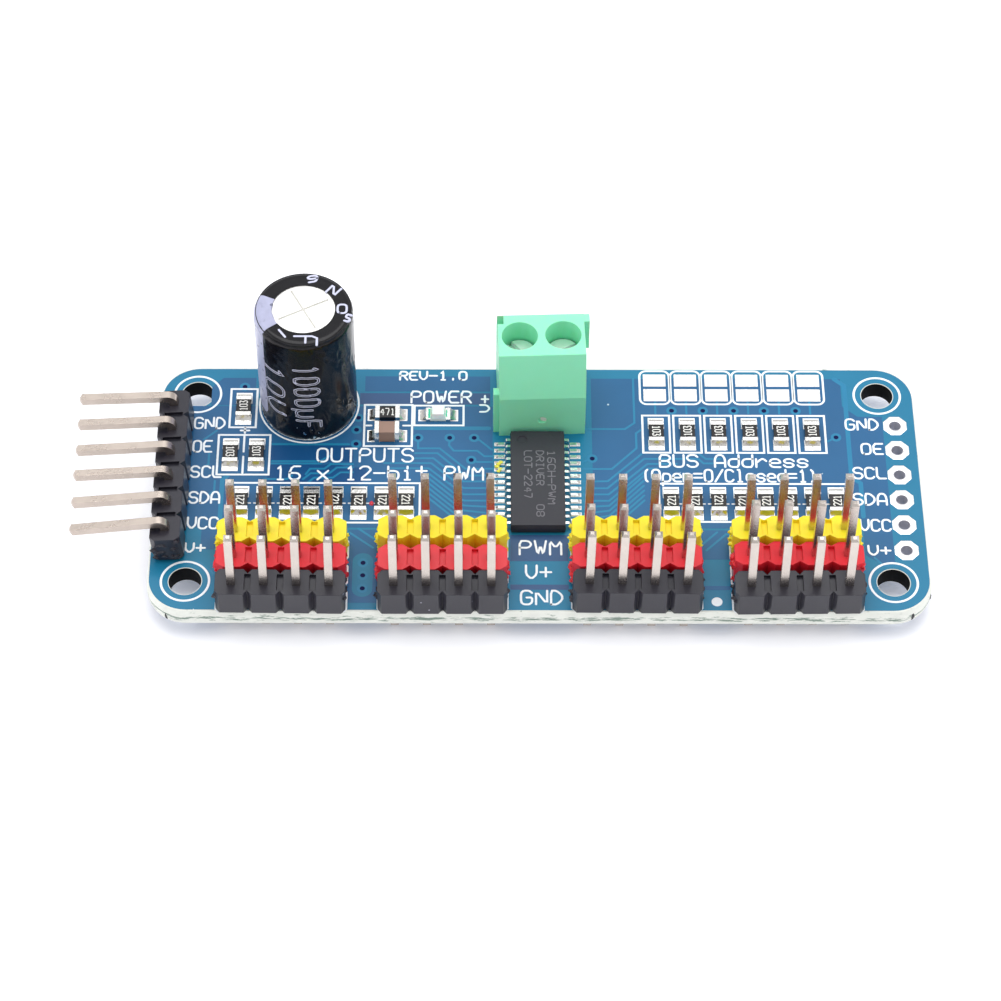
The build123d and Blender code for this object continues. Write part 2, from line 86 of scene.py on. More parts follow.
boardHigh = boxOf("circuit_board")[1]
boardTop = boardHigh[2]
halfLength, halfWidth = boardHigh[0], boardHigh[1]
holeDims = mountPlace("mounting_holes")[1]
mountHoles = [
    (sx * holeDims["spacing_x_mm"] / 2, sy * holeDims["spacing_y_mm"] / 2) for sx in (-1, 1) for sy in (-1, 1)
]
pitch = 2.54
busYs = [(i - 2.5) * pitch for i in range(6)]
busX = mountPlace("bus_holes")[0][0]
groupXs = [mountPlace(f"servo_header_{i}")[0][0] for i in (1, 2, 3, 4)]
rowYs = [mountPlace("servo_header_1")[0][1] + i * pitch for i in (-1, 0, 1)]
servoHoles = [(x + (i - 1.5) * pitch, y) for x in groupXs for i in range(4) for y in rowYs]
leadLow, leadHigh = boxOf("capacitor_leads")
leadHoles = [(leadLow[0] + 0.3, (leadLow[1] + leadHigh[1]) / 2), (leadHigh[0] - 0.3, (leadLow[1] + leadHigh[1]) / 2)]
legHoles = [tuple(middleOf(f"terminal_cage_{i}")[:2]) for i in (1, 2)]
canMiddle = middleOf("capacitor_sleeve")


# colours and shader helpers
def tint(hexCode, alpha=1.0):
    # screen colour to linear: each channel c becomes ((c + 0.055) / 1.055) ^ 2.4
    values = [int(hexCode[i:i + 2], 16) / 255 for i in (1, 3, 5)]
    linear = [v / 12.92 if v <= 0.04045 else ((v + 0.055) / 1.055) ** 2.4 for v in values]
    return (*linear, alpha)


def newGroup(name, inputs, outputs):
    group = bpy.data.node_groups.new(name, "ShaderNodeTree")
    for label, kind, value in inputs:
        socket = group.interface.new_socket(label, in_out="INPUT", socket_type=kind)
        socket.default_value = value
    for label, kind in outputs:
        group.interface.new_socket(label, in_out="OUTPUT", socket_type=kind)
    return group, group.nodes.new("NodeGroupInput"), group.nodes.new("NodeGroupOutput")


def nodeMaker(tree):
    # makes a node with its settings and inputs at once: a socket is linked, any other value is set on its input
    def make(kind, inputs=None, **settings):
        node = tree.nodes.new("ShaderNode" + kind)
        for label, value in settings.items():
            setattr(node, label, value)
        for key, value in (inputs or {}).items():
            if isinstance(value, bpy.types.NodeSocket):
                tree.links.new(value, node.inputs[key])
            else:
                node.inputs[key].default_value = value
        return node

    return make


def makeGrainGroup():
    # fine mould grain and slow colour drift, both from noise on Object coordinates
    group, given, out = newGroup(
        "finishGrain",
        [
            ("Colour", "NodeSocketColor", (0.5, 0.5, 0.5, 1)),
            ("Drift", "NodeSocketFloat", 0.1),
            ("Fine Scale", "NodeSocketFloat", 20000),
            ("Slow Scale", "NodeSocketFloat", 600),
            ("Roughness", "NodeSocketFloat", 0.4),
            ("Roughness Drift", "NodeSocketFloat", 0.1),
        ],
        [("Colour", "NodeSocketColor"), ("Roughness", "NodeSocketFloat"), ("Height", "NodeSocketFloat")],
    )
    make, wire = nodeMaker(group), group.links.new
    place = make("TexCoord").outputs["Object"]
    fine = make("TexNoise", {"Vector": place, "Scale": given.outputs["Fine Scale"], "Detail": 3})
    slow = make("TexNoise", {"Vector": place, "Scale": given.outputs["Slow Scale"], "Detail": 4})
    centred = make("Math", {0: slow.outputs["Fac"], 1: 0.5}, operation="SUBTRACT").outputs[0]
    shade = make("Math", {0: centred, 1: given.outputs["Drift"], 2: 1.0}, operation="MULTIPLY_ADD")
    shaded = make("VectorMath", {0: given.outputs["Colour"], "Scale": shade.outputs[0]}, operation="SCALE")
    rough = make("Math", {0: centred, 1: given.outputs["Roughness Drift"], 2: given.outputs["Roughness"]},
                 operation="MULTIPLY_ADD")
    wire(shaded.outputs[0], out.inputs["Colour"])
    wire(rough.outputs[0], out.inputs["Roughness"])
    wire(fine.outputs["Fac"], out.inputs["Height"])
    return group


def makeSpeckGroup():
    # scattered specks: 1 in the middles of Voronoi cells, kept in the share of cells given by the amount
    group, given, out = newGroup(
        "dustSpecks",
        [("Scale", "NodeSocketFloat", 900), ("Size", "NodeSocketFloat", 0.12), ("Amount", "NodeSocketFloat", 0.5)],
        [("Mask", "NodeSocketFloat")],
    )
    make = nodeMaker(group)
    cells = make("TexVoronoi", {"Vector": make("TexCoord").outputs["Object"], "Scale": given.outputs["Scale"]})
    inside = make("Math", {0: cells.outputs["Distance"], 1: given.outputs["Size"]}, operation="LESS_THAN")
    picked = make("SeparateColor", {0: cells.outputs["Color"]})
    some = make("Math", {0: picked.outputs[0], 1: given.outputs["Amount"]}, operation="LESS_THAN")
    both = make("Math", {0: inside.outputs[0], 1: some.outputs[0]}, operation="MULTIPLY")
    group.links.new(both.outputs[0], out.inputs["Mask"])
    return group


grainGroup = makeGrainGroup()
speckGroup = makeSpeckGroup()


def finish(name, colour, roughness=0.4, metallic=0.0, drift=0.15, roughDrift=0.1, fineScale=20000,
           slowScale=600, bump=0.1, bumpDepth=0.00002, rounded=0.0, specks=None, **sockets):
    # one Principled material: grain group for colour and roughness, specks over it, bump from the grain
    mat = bpy.data.materials.new(name)
    mat.use_nodes = True
    make, wire = nodeMaker(mat.node_tree), mat.node_tree.links.new
    shader = mat.node_tree.nodes["Principled BSDF"]
    grain = make("Group", {"Colour": tint(colour), "Drift": drift, "Fine Scale": fineScale, "Slow Scale": slowScale,
                           "Roughness": roughness, "Roughness Drift": roughDrift}, node_tree=grainGroup)
    shader.inputs["Metallic"].default_value = metallic
    colourOut = grain.outputs["Colour"]
    if specks:
        mask = make("Group", {"Scale": specks["scale"], "Size": specks["size"], "Amount": specks["amount"]},
                    node_tree=speckGroup).outputs["Mask"]
        mixed = make("Mix", {"Factor": mask, "A": colourOut, "B": tint(specks["colour"])}, data_type="RGBA")
        colourOut = mixed.outputs["Result"]
    wire(colourOut, shader.inputs["Base Color"])
    wire(grain.outputs["Roughness"], shader.inputs["Roughness"])
    relief = make("Bump", {"Strength": bump, "Distance": bumpDepth, "Height": grain.outputs["Height"]})
    if rounded:
        edges = make("Bevel", {"Radius": rounded * mm}, samples=4)
        wire(edges.outputs["Normal"], relief.inputs["Normal"])
    wire(relief.outputs["Normal"], shader.inputs["Normal"])
    for label, value in sockets.items():
        shader.inputs[label.replace("_", " ")].default_value = value
    return mat



dust = {"scale": 1500, "size": 0.10, "amount": 0.10, "colour": "#9a98a8"}
whiteDust = {"scale": 700, "size": 0.06, "amount": 0.08, "colour": "#b9cfdc"}
maskGloss = {"Specular_IOR_Level": 0.3, "Coat_Weight": 0.12, "Coat_Roughness": 0.2}

bareMask = finish("bareMask", "#187599", 0.34, drift=0.25, slowScale=250, specks=whiteDust, **maskGloss)
pourMask = finish("pourMask", "#215e8c", 0.34, drift=0.3, slowScale=200, specks=whiteDust, **maskGloss)
# partly painted shadow: this deeper mask colour also carries the capacitor's shadow on the mask in front of it
deepMaskAndShadow = finish("deepMaskAndShadow", "#0f4a7d", 0.34, drift=0.3, slowScale=200, specks=whiteDust, **maskGloss)
plumMask = finish("plumMask", "#32547f", 0.34, drift=0.2, slowScale=200, specks=whiteDust, **maskGloss)
traceMask = finish("traceMask", "#1f7ba3", 0.32, drift=0.2, slowScale=300, **maskGloss)
# painted shade: near-black colour for the shaded inside of the via holes
viaHoleShade = finish("viaHoleShade", "#0b1446", 0.5, drift=0.3, Specular_IOR_Level=0.1)
whiteInk = finish("whiteInk", "#f2f7fb", 0.55, drift=0.14, slowScale=4000, bump=0.3)
tinPad = finish("tinPad", "#f4f2ee", 0.28, metallic=1.0, drift=0.12, slowScale=1500, fineScale=6000, bump=0.35)
solderShine = finish("solderShine", "#d6d3ce", 0.2, metallic=1.0, drift=0.15, slowScale=1200,
                     fineScale=3000, bump=0.4)
pinMetal = finish("pinMetal", "#cbc2ba", 0.26, metallic=1.0, drift=0.25, slowScale=900, fineScale=5000,
                  bump=0.3, rounded=0.05)
busPinMetal = finish("busPinMetal", "#bfb3a9", 0.28, metallic=1.0, drift=0.3, slowScale=700, fineScale=4000,
                     bump=0.4, rounded=0.05)
blackStrip = finish("blackStrip", "#21202b", 0.34, drift=0.3, roughDrift=0.25, fineScale=9000, bump=0.25,
                    rounded=0.07, specks=dust)
redStrip = finish("redStrip", "#e0202f", 0.36, drift=0.12, fineScale=9000, bump=0.2, rounded=0.07,
                  Subsurface_Weight=0.15, Subsurface_Scale=0.0006)
yellowStrip = finish("yellowStrip", "#fce524", 0.36, drift=0.08, fineScale=9000, bump=0.2, rounded=0.07,
                     Subsurface_Weight=0.15, Subsurface_Scale=0.0006)
greenNylon = finish("greenNylon", "#8eeac0", 0.42, drift=0.06, fineScale=7000, bump=0.12, rounded=0.08,
                    Subsurface_Weight=0.25, Subsurface_Scale=0.0008)
# partly painted highlight: silver zinc, with a near-white base and a large diffuse share lifting the screws against the
# shade of their wells
zincScrewPaintedLight = finish("zincScrewPaintedLight", "#f2f7f5", 0.25, metallic=0.6, drift=0.25, slowScale=1500, bump=0.3, rounded=0.04)
platedCage = finish("platedCage", "#d8d4c6", 0.3, metallic=1.0, drift=0.2, rounded=0.04)
chipEpoxy = finish("chipEpoxy", "#292831", 0.52, drift=0.18, roughDrift=0.15, fineScale=12000, bump=0.3,
                   rounded=0.05, specks=dust)
chipInk = finish("chipInk", "#6d6b72", 0.6, drift=0.3, slowScale=5000)
leadTin = finish("leadTin", "#efeeea", 0.2, metallic=1.0, drift=0.2, slowScale=1500, bump=0.3)
resistorGlaze = finish("resistorGlaze", "#191718", 0.22, drift=0.3, rounded=0.04, fineScale=8000)
codeInk = finish("codeInk", "#f4f3ee", 0.5, drift=0.15, slowScale=5000)
endCap = finish("endCap", "#e9e8e4", 0.26, metallic=1.0, drift=0.2, slowScale=1800, fineScale=6000,
                bump=0.45, rounded=0.04)
tanCeramic = finish("tanCeramic", "#9a7a6b", 0.45, drift=0.2, fineScale=9000, bump=0.2, rounded=0.08)
lightBase = finish("lightBase", "#eef5ee", 0.35, drift=0.06, rounded=0.04)
lightLens = finish("lightLens", "#fbfffb", 0.14, drift=0.04, rounded=0.08, Subsurface_Weight=0.4,
                   Subsurface_Scale=0.0006, Coat_Weight=0.6)
greenMark = finish("greenMark", "#2fc99b", 0.4)
canMetal = finish("canMetal", "#f3f2ee", 0.34, metallic=1.0, drift=0.16, slowScale=700, fineScale=2500, bump=0.25)
bungRubber = finish("bungRubber", "#1c1b1c", 0.7)
foilRoll = finish("foilRoll", "#b9b5a8", 0.5, metallic=0.4)
sleeveFilm = finish("sleeveFilm", "#0b0a0f", 0.2, drift=0.4, roughDrift=0.12, slowScale=500, fineScale=1500,
                    bump=0.35, bumpDepth=0.00003, Specular_IOR_Level=0.32)
stripeInk = finish("stripeInk", "#a9abc6", 0.3, drift=0.35, slowScale=1600, roughDrift=0.2, bump=0.25,
                   specks={"scale": 1500, "size": 0.22, "amount": 0.30, "colour": "#6d6f86"})
sleeveInk = finish("sleeveInk", "#c9cbe2", 0.35, drift=0.15, slowScale=2500, bump=0.2)
dieSilicon = finish("dieSilicon", "#55585f", 0.15, metallic=0.3)
yellowPaint = finish("yellowPaint", "#e6e04a", 0.4, drift=0.3, slowScale=3000)
redPaint = finish("redPaint", "#e2334a", 0.3, drift=0.2)
print("materials made")


def makeLaminate():
    # glass cloth in resin: pale body, dark broken fibres running along the edges, most of them in the middle ridge
    mat = finish("laminate", "#e2e4dc", 0.75, drift=0.25, slowScale=900, bump=0.2)
    make, wire = nodeMaker(mat.node_tree), mat.node_tree.links.new
    shader = mat.node_tree.nodes["Principled BSDF"]
    place = make("TexCoord").outputs["Object"]
    stretched = make("Mapping", {"Vector": place, "Scale": (900, 900, 5200)}).outputs["Vector"]
    fibres = make("TexNoise", {"Vector": stretched, "Scale": 1.0, "Detail": 5, "Roughness": 0.65}).outputs["Fac"]
    # the ridge adds most at half thickness and nothing near the faces
    height = make("SeparateXYZ", {0: place}).outputs["Z"]
    fromMiddle = make("Math", {0: height, 1: boardTop / 2 * mm}, operation="SUBTRACT").outputs[0]
    away = make("Math", {0: fromMiddle}, operation="ABSOLUTE").outputs[0]
    ridge = make("MapRange", {"Value": away, "From Min": 0.12 * mm, "From Max": 0.42 * mm, "To Min": 0.16,
                              "To Max": 0.0}).outputs[0]
    raised = make("Math", {0: fibres, 1: ridge}, operation="ADD").outputs[0]
    flecks = make("MapRange", {"Value": raised, "From Min": 0.62, "From Max": 0.72}).outputs[0]
    body = shader.inputs["Base Color"].links[0].from_socket
    mixed = make("Mix", {"Factor": flecks, "A": body, "B": tint("#74877b")}, data_type="RGBA")
    rough = make("Bump", {"Strength": 0.6, "Distance": 0.00006, "Height": fibres})
    wire(mixed.outputs["Result"], shader.inputs["Base Color"])
    wire(rough.outputs["Normal"], shader.inputs["Normal"])
    return mat


laminate = makeLaminate()


# shape helpers
def gridFaces(rows, cols, closedRows=False, closedCols=False):
    # quads of a rows x cols grid, as one index array; a closed direction joins its last line to its first
    i = np.arange(rows if closedRows else rows - 1)
    j = np.arange(cols if closedCols else cols - 1)
    a, b = np.meshgrid(i, j, indexing="ij")
    a2, b2 = (a + 1) % rows, (b + 1) % cols
    quads = np.stack([a * cols + b, a2 * cols + b, a2 * cols + b2, a * cols + b2], axis=-1)
    return quads.reshape(-1, 4).tolist()


def joined(shapes):
    # several (points, faces) as one
    points, faces, start = [], [], 0
    for p, f in shapes:
        points.append(np.asarray(p, float))
        faces += [[k + start for k in face] for face in f]
        start += len(p)
    return np.concatenate(points), faces


def addPiece(name, shapes, material, body="root", smooth=False, merge=False, replaces=()):
    points, faces = joined(shapes)
    mesh = bpy.data.meshes.new(name)
    mesh.from_pydata((points * mm).tolist(), [], faces)
    work = bmesh.new()
    work.from_mesh(mesh)
    if merge:
        bmesh.ops.remove_doubles(work, verts=work.verts, dist=1e-7)
    bmesh.ops.recalc_face_normals(work, faces=work.faces)
    work.to_mesh(mesh)
    work.free()
    if smooth:
        mesh.polygons.foreach_set("use_smooth", np.ones(len(mesh.polygons), bool))
        mesh.set_sharp_from_angle(angle=math.radians(38))
    mesh.materials.append(material)
    piece = bpy.data.objects.new(name, mesh)
    bpy.context.scene.collection.objects.link(piece)
    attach(piece, body)
    if replaces:
        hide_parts(*replaces)
    return piece


def carried(path, profile, closed=False, taper=0.55):
    # a profile carried along a flat path: at each point the profile's offset runs along the mitred normal
    # (the sum of both sides' normals over 1 + their dot product), and its height straight up
    p = np.asarray(path, float)
    if closed:
        before, after = np.roll(p, 1, 0), np.roll(p, -1, 0)
    else:
        before = np.vstack([2 * p[0] - p[1], p[:-1]])
        after = np.vstack([p[1:], 2 * p[-1] - p[-2]])
    along1 = p - before
    along2 = after - p
    along1 /= np.linalg.norm(along1, axis=1)[:, None]
    along2 /= np.linalg.norm(along2, axis=1)[:, None]
    n1 = np.stack([-along1[:, 1], along1[:, 0]], 1)
    n2 = np.stack([-along2[:, 1], along2[:, 0]], 1)
    side = (n1 + n2) / np.maximum(1 + (n1 * n2).sum(1), 0.45)[:, None]
    scale = np.ones(len(p))
    profile = np.asarray(profile, float)
    if not closed:  # rounded ends: an extra narrower ring past each end
        reach = np.abs(profile[:, 0]).max()
        p = np.vstack([p[0] - along2[0] * reach * 0.8, p, p[-1] + along1[-1] * reach * 0.8])
        side = np.vstack([side[0], side, side[-1]])
        scale = np.concatenate([[taper], scale, [taper]])
    rings = p[:, None, :] + side[:, None, :] * (profile[None, :, 0] * scale[:, None])[:, :, None]
    heights = np.broadcast_to(profile[None, :, 1], rings.shape[:2])
    points = np.concatenate([rings, heights[:, :, None]], 2).reshape(-1, 3)
    faces = gridFaces(len(p), len(profile), closed, True)
    if not closed:
        last = (len(p) - 1) * len(profile)
        faces += [list(range(len(profile)))[::-1], [last + k for k in range(len(profile))]]
    return points, faces


def ribbonProfile(width, low, high):
    # a low flat-topped ridge, width wide at its foot
    w = width / 2
    return [(-w, low), (-w * 0.86, high), (w * 0.86, high), (w, low)]


def rotated(points, angle, centre=(0, 0)):
    c, s = math.cos(math.radians(angle)), math.sin(math.radians(angle))
    p = np.asarray(points, float)
    return np.stack([centre[0] + p[:, 0] * c - p[:, 1] * s, centre[1] + p[:, 0] * s + p[:, 1] * c], 1)


def arcPath(x, y, radius, start=0, end=360, steps=48):
    a = np.radians(np.linspace(start, end, steps, endpoint=end - start < 360))
    return np.stack([x + radius * np.cos(a), y + radius * np.sin(a)], 1)


def roundedBox(x0, x1, y0, y1, radius, steps=6):
    # four quarter arcs, joined by their straight sides
    corners = [(x1 - radius, y1 - radius, 0), (x0 + radius, y1 - radius, 90),
               (x0 + radius, y0 + radius, 180), (x1 - radius, y0 + radius, 270)]
    return np.concatenate([arcPath(x, y, radius, a, a + 90, steps) for x, y, a in corners])


def lathed(profile, x, y, steps=24, closed=False):
    # surface of revolution: (r cos a, r sin a, z) for each profile point (r, z)
    profile = np.asarray(profile, float)
    a = np.arange(steps) * 2 * np.pi / steps
    r, z = profile[:, 0][:, None], profile[:, 1][:, None]
    points = np.stack([x + r * np.cos(a), y + r * np.sin(a), z + 0 * a], -1).reshape(-1, 3)
    faces = gridFaces(len(profile), steps, closed, True)
    return points, faces


def ringPlate(x, y, inner, outerAt, low, high, steps=32):
    # a flat ring: inner circle, and an outer edge whose radius is a function of the angle, slightly domed
    a = np.arange(steps) * 2 * np.pi / steps
    outer = outerAt(a)
    edge = (outer - inner) * 0.12
    radii = np.stack([inner + 0 * a, inner + edge, outer - edge, outer, outer, inner + 0 * a])
    heights = np.array([high - 0.01, high, high, high - 0.012, low, low])[:, None] + 0 * a
    points = np.stack([x + radii * np.cos(a), y + radii * np.sin(a), heights], -1).reshape(-1, 3)
    return points, gridFaces(6, steps, True, True)


def roundAt(radius):
    return lambda a: radius + 0 * a


def octagonAt(flatRadius):
    # distance to the side of an octagon: flat radius over the cosine of the angle from the side's middle
    return lambda a: flatRadius / np.cos((a + np.pi / 8) % (np.pi / 4) - np.pi / 8)


def slab(x0, x1, y0, y1, low, high, chamfer=0.01):
    # a low plate with its top edge broken: two stacked rectangles, and the inset top one
    rows = [(0, low), (0, high - chamfer), (chamfer, high)]
    points = [(px, py, z) for d, z in rows
              for px, py in ((x0 + d, y0 + d), (x1 - d, y0 + d), (x1 - d, y1 - d), (x0 + d, y1 - d))]
    faces = gridFaces(3, 4, False, True) + [[3, 2, 1, 0], [8, 9, 10, 11]]
    return np.array(points), faces


def filledPlate(name, outline, holes, low, high, material):
    # flat outlines filled with their holes left open, made a mesh before it is put in place
    curve = bpy.data.curves.new(name + "Outline", "CURVE")
    curve.dimensions = "2D"
    curve.fill_mode = "BOTH"
    curve.extrude = (high - low) / 2 * mm
    for loop in [*outline, *holes]:
        spline = curve.splines.new("POLY")
        spline.points.add(len(loop) - 1)
        flat = np.zeros((len(loop), 4))
        flat[:, :2] = np.asarray(loop) * mm
        flat[:, 3] = 1
        spline.points.foreach_set("co", flat.ravel())
        spline.use_cyclic_u = True
    holder = bpy.data.objects.new(name + "Outline", curve)
    mesh = bpy.data.meshes.new_from_object(holder)
    bpy.data.objects.remove(holder)
    co = np.zeros(len(mesh.vertices) * 3)
    mesh.vertices.foreach_get("co", co)
    points = co.reshape(-1, 3) / mm
    points[:, 2] += (low + high) / 2
    faces = [list(p.vertices) for p in mesh.polygons]
    bpy.data.meshes.remove(mesh)
    return addPiece(name, [(points, faces)], material, merge=True)


# stroke lettering
# each letter is a few strokes, each stroke a run of grid points written as column-row pairs:
# columns 0 to 4, rows 2 (foot) to 8 (cap), rows 0 and 1 below the line
letters = {
    "A": "02 06 18 38 46 42,04 44", "B": "02 08 38 47 46 35 05,35 44 43 32 02", "C": "47 38 18 07 03 12 32 43",
    "D": "02 08 28 46 44 22 02", "E": "42 02 08 48,05 35", "F": "02 08 48,05 35",
    "G": "47 38 18 07 03 12 32 43 45 25", "H": "02 08,42 48,05 45", "I": "12 32,22 28,18 38", "L": "08 02 42",
    "M": "02 08 25 48 42", "N": "02 08 42 48", "O": "12 03 07 18 38 47 43 32 12", "P": "02 08 38 47 46 35 05",
    "R": "02 08 38 47 46 35 05,25 42", "S": "47 38 18 07 06 15 35 44 43 32 12 03", "T": "08 48,28 22",
    "U": "08 03 12 32 43 48", "V": "08 04 22 44 48", "W": "08 12 26 32 48",
    "b": "08 02 32 43 45 36 06", "c": "45 36 16 05 03 12 32 43", "d": "48 42 12 03 05 16 46",
    "e": "04 44 45 36 16 05 03 12 42", "i": "16 26 22,12 32,28 27", "l": "18 28 22,12 32",
    "n": "02 06,05 16 36 45 42", "o": "12 03 05 16 36 45 43 32 12", "p": "00 06 36 45 43 32 02",
    "r": "02 06,04 26 36 45", "s": "45 36 16 05 14 34 43 32 12 03", "t": "28 23 32 42,06 46", "x": "02 46,06 42",
    "0": "12 03 07 18 38 47 43 32 12", "1": "17 28 22,12 32", "!": "17 28 22", "2": "07 18 38 47 46 02 42",
    "3": "08 48 25 35 44 43 32 12 03", "4": "32 38 04 44", "5": "48 08 05 35 44 43 32 02",
    "6": "48 18 05 03 12 32 43 44 35 05", "7": "08 48 22",
    "8": "15 06 07 18 38 47 46 35 15 04 03 12 32 43 44 35", "9": "02 32 45 47 38 18 07 06 15 45",
    "+": "23 27,05 45", "-": "05 45", "=": "04 44,06 46", "(": "38 27 23 32", ")": "18 27 23 12",
    "/": "02 48", ".": "22 23", "u": "01 06,03 12 32 43,46 42", " ": "",
}


def strokesOf(text, width, height, slant=0.0, gap=0.35):
    # the text's strokes in a box width x height: column / 4 across a letter, (row - 2) / 6 up it
    cell = width / (len(text) + gap * (len(text) - 1))
    found = []
    for k, letter in enumerate(text):
        for stroke in filter(None, letters[letter].split(",")):
            grid = np.array([[int(pair[0]) / 4, (int(pair[1]) - 2) / 6] for pair in stroke.split()])
            x = (k * (1 + gap) + grid[:, 0]) * cell + slant * grid[:, 1] * height
            found.append(np.stack([x, grid[:, 1] * height], 1))
    return found


def eased(path, cut=0.22):
    # corners softened once: each inner point becomes two, a share of the way along its sides
    p = np.asarray(path)
    if len(p) < 3:
        return p
    first, last = p[1:-1] + (p[:-2] - p[1:-1]) * cut, p[1:-1] + (p[2:] - p[1:-1]) * cut
    return np.concatenate([p[:1], np.stack([first, last], 1).reshape(-1, 2), p[-1:]])


def lettering(lines, low, high, thickness):
    # lines of (text, x, y, width, height, angle): strokes as ribbons lying on a flat face
    shapes = []
    for text, x, y, width, height, angle in lines:
        for k, stroke in enumerate(strokesOf(text, width, height)):
            profile = ribbonProfile(thickness, low, high + 0.0013 * (k % 4))
            shapes.append(carried(rotated(eased(stroke), angle, (x, y)), profile))
    return shapes


def clumps(node):
    # the separate lumps of a node: its triangles split wherever their spans leave a gap, along x, then y, then x
    mesh = nodes[node].data
    corners = np.zeros(len(mesh.vertices) * 3)
    mesh.vertices.foreach_get("co", corners)
    order = np.zeros(len(mesh.loops), int)
    mesh.loops.foreach_get("vertex_index", order)
    lumps = [corners.reshape(-1, 3)[order].reshape(-1, 3, 3) / mm]
    for axis in (0, 1, 0):
        found = []
        for lump in lumps:
            starts, ends = lump[:, :, axis].min(1), lump[:, :, axis].max(1)
            turn = np.argsort(starts, kind="stable")
            reached = np.maximum.accumulate(ends[turn])
            found += np.split(lump[turn], np.nonzero(starts[turn][1:] > reached[:-1] + 0.05)[0] + 1)
        lumps = found
    return [(lump.reshape(-1, 3).min(0), lump.reshape(-1, 3).max(0)) for lump in lumps]


def loopFaces(rows, cols):
    # walls of a tube of closed rings, and a cap on each end
    last = (rows - 1) * cols
    return gridFaces(rows, cols, False, True) + [list(range(cols))[::-1], [last + k for k in range(cols)]]


def wedge(x, y, width, length, height, way, low, bulge=0.0, steps=7):
    # solder climbing an end face: height falls as (1 - t)^1.7 away from the face, and towards both sides
    across = np.linspace(-1, 1, steps)[:, None]
    t = np.linspace(0, 1, steps)[None, :]
    fall = (1 - t) ** 1.7 * (1 - 0.35 * across ** 4)
    dimple = bulge * np.exp(-((across / 0.5) ** 2) - ((t - 0.45) / 0.25) ** 2)
    z = low + 0.012 + height * np.clip(fall - dimple, 0, None)
    px = x + across * width / 2 * (1 - 0.06 * t) + 0 * t
    py = y + way * t * length + 0 * across
    top = np.stack([px, py, z], -1)
    foot = np.stack([px[:, [-1, 0]], py[:, [-1, 0]], np.full((steps, 2), low)], -1)
    rings = np.concatenate([top, foot], 1)
    return rings.reshape(-1, 3), loopFaces(steps, steps + 2)


hull = np.array([v.co[:2] for v in nodes["circuit_board"].data.vertices if v.co.z > (boardTop - 0.01) * mm]) / mm
rim = hull[convex_hull_2d(hull.tolist())]

board = {
    "maskInsetX": 0.05, "maskInsetY": 0.14,     # bare laminate left along the edges
    "maskHeight": 0.02, "pourHeight": 0.007, "traceHeight": 0.012, "padHeight": 0.035, "inkHeight": 0.017,
    "mountRadius": 1.3, "ringRadius": 1.9, "inkLine": 0.19,
    "busPadFlat": 0.95, "busHoleRadius": 0.5,
}
maskTop = boardTop + board["maskHeight"]
pourTop = maskTop + board["pourHeight"]
traceTop = maskTop + board["traceHeight"]
padTop = boardTop + board["padHeight"]
padFoot = boardTop - 0.005  # pads start just inside the laminate
inkTop = maskTop + board["inkHeight"]
maskRim = rim * [1 - board["maskInsetX"] / halfLength, 1 - board["maskInsetY"] / halfWidth]
busHoles = [(busX, y) for y in busYs]
pinHoles = servoHoles + [(-busX, y) for y in busYs]
legs = legHoles + leadHoles


def discs(places, radius, steps=24):
    return [arcPath(x, y, radius, steps=steps) for x, y in places]


filledPlate("mask_top", [maskRim],
            discs(mountHoles, board["mountRadius"] + 0.06, 48) + discs(busHoles, 0.9) + discs(pinHoles, 0.6)
            + discs(legs, 0.7), boardTop, maskTop, bareMask)
filledPlate("mask_bottom", [maskRim],
            discs(mountHoles, board["mountRadius"] + 0.06, 48) + discs(busHoles + pinHoles, 0.72)
            + discs(legs, 0.85), -0.02, 0.0, pourMask)

# places where the mask lies over copper or bare laminate look duller or deeper
tonePatches = {
    "tone_left": (pourMask, [(-29.3, -4.2), (-26.9, -4.2), (-26.9, -6.4), (-25.6, -6.4), (-25.6, -4.2), (-3.7, -4.2),
                             (-3.7, 8.3), (-29.3, 8.3)]),
    "tone_left_back": (pourMask, [(-26.8, 8.4), (-23.2, 8.4), (-23.2, 11.3), (-25.9, 11.3), (-26.8, 10.3)]),
    "tone_behind": (plumMask, [(-14.6, 8.5), (-3.9, 8.5), (-3.9, 9.7), (-14.6, 9.7)]),
    "tone_model": (pourMask, [(-14.2, 9.9), (-3.9, 9.9), (-3.9, 11.5), (-14.2, 11.5)]),
    "tone_right": (pourMask, [(4.4, -4.2), (25.9, -4.2), (25.9, -6.8), (27.1, -7.7), (28.2, -7.7), (28.2, 7.3),
                             (26.2, 7.3), (25.0, 8.4), (25.0, 11.3), (4.4, 11.3)]),
    "tone_middle": (plumMask, [(-2.3, -7.5), (2.3, -7.5), (2.3, -4.9), (-2.3, -4.9)]),
    "tone_gap_left": (pourMask, [(-15.15, -11.6), (-12.75, -11.6), (-12.75, -4.4), (-15.15, -4.4)]),
    "tone_gap_right": (pourMask, [(12.8, -7.3), (15.1, -7.3), (15.1, -4.4), (12.8, -4.4)]),
    "tone_bands": (plumMask, [(-2.3, -10.3), (2.3, -10.3), (2.3, -9.8), (-2.3, -9.8)]),
    "tone_band_right": (pourMask, [(12.8, -10.3), (15.1, -10.3), (15.1, -9.9), (12.8, -9.9)]),
}
for name, (material, outline) in tonePatches.items():
    filledPlate(name, [outline], [], maskTop - 0.01, pourTop, material)
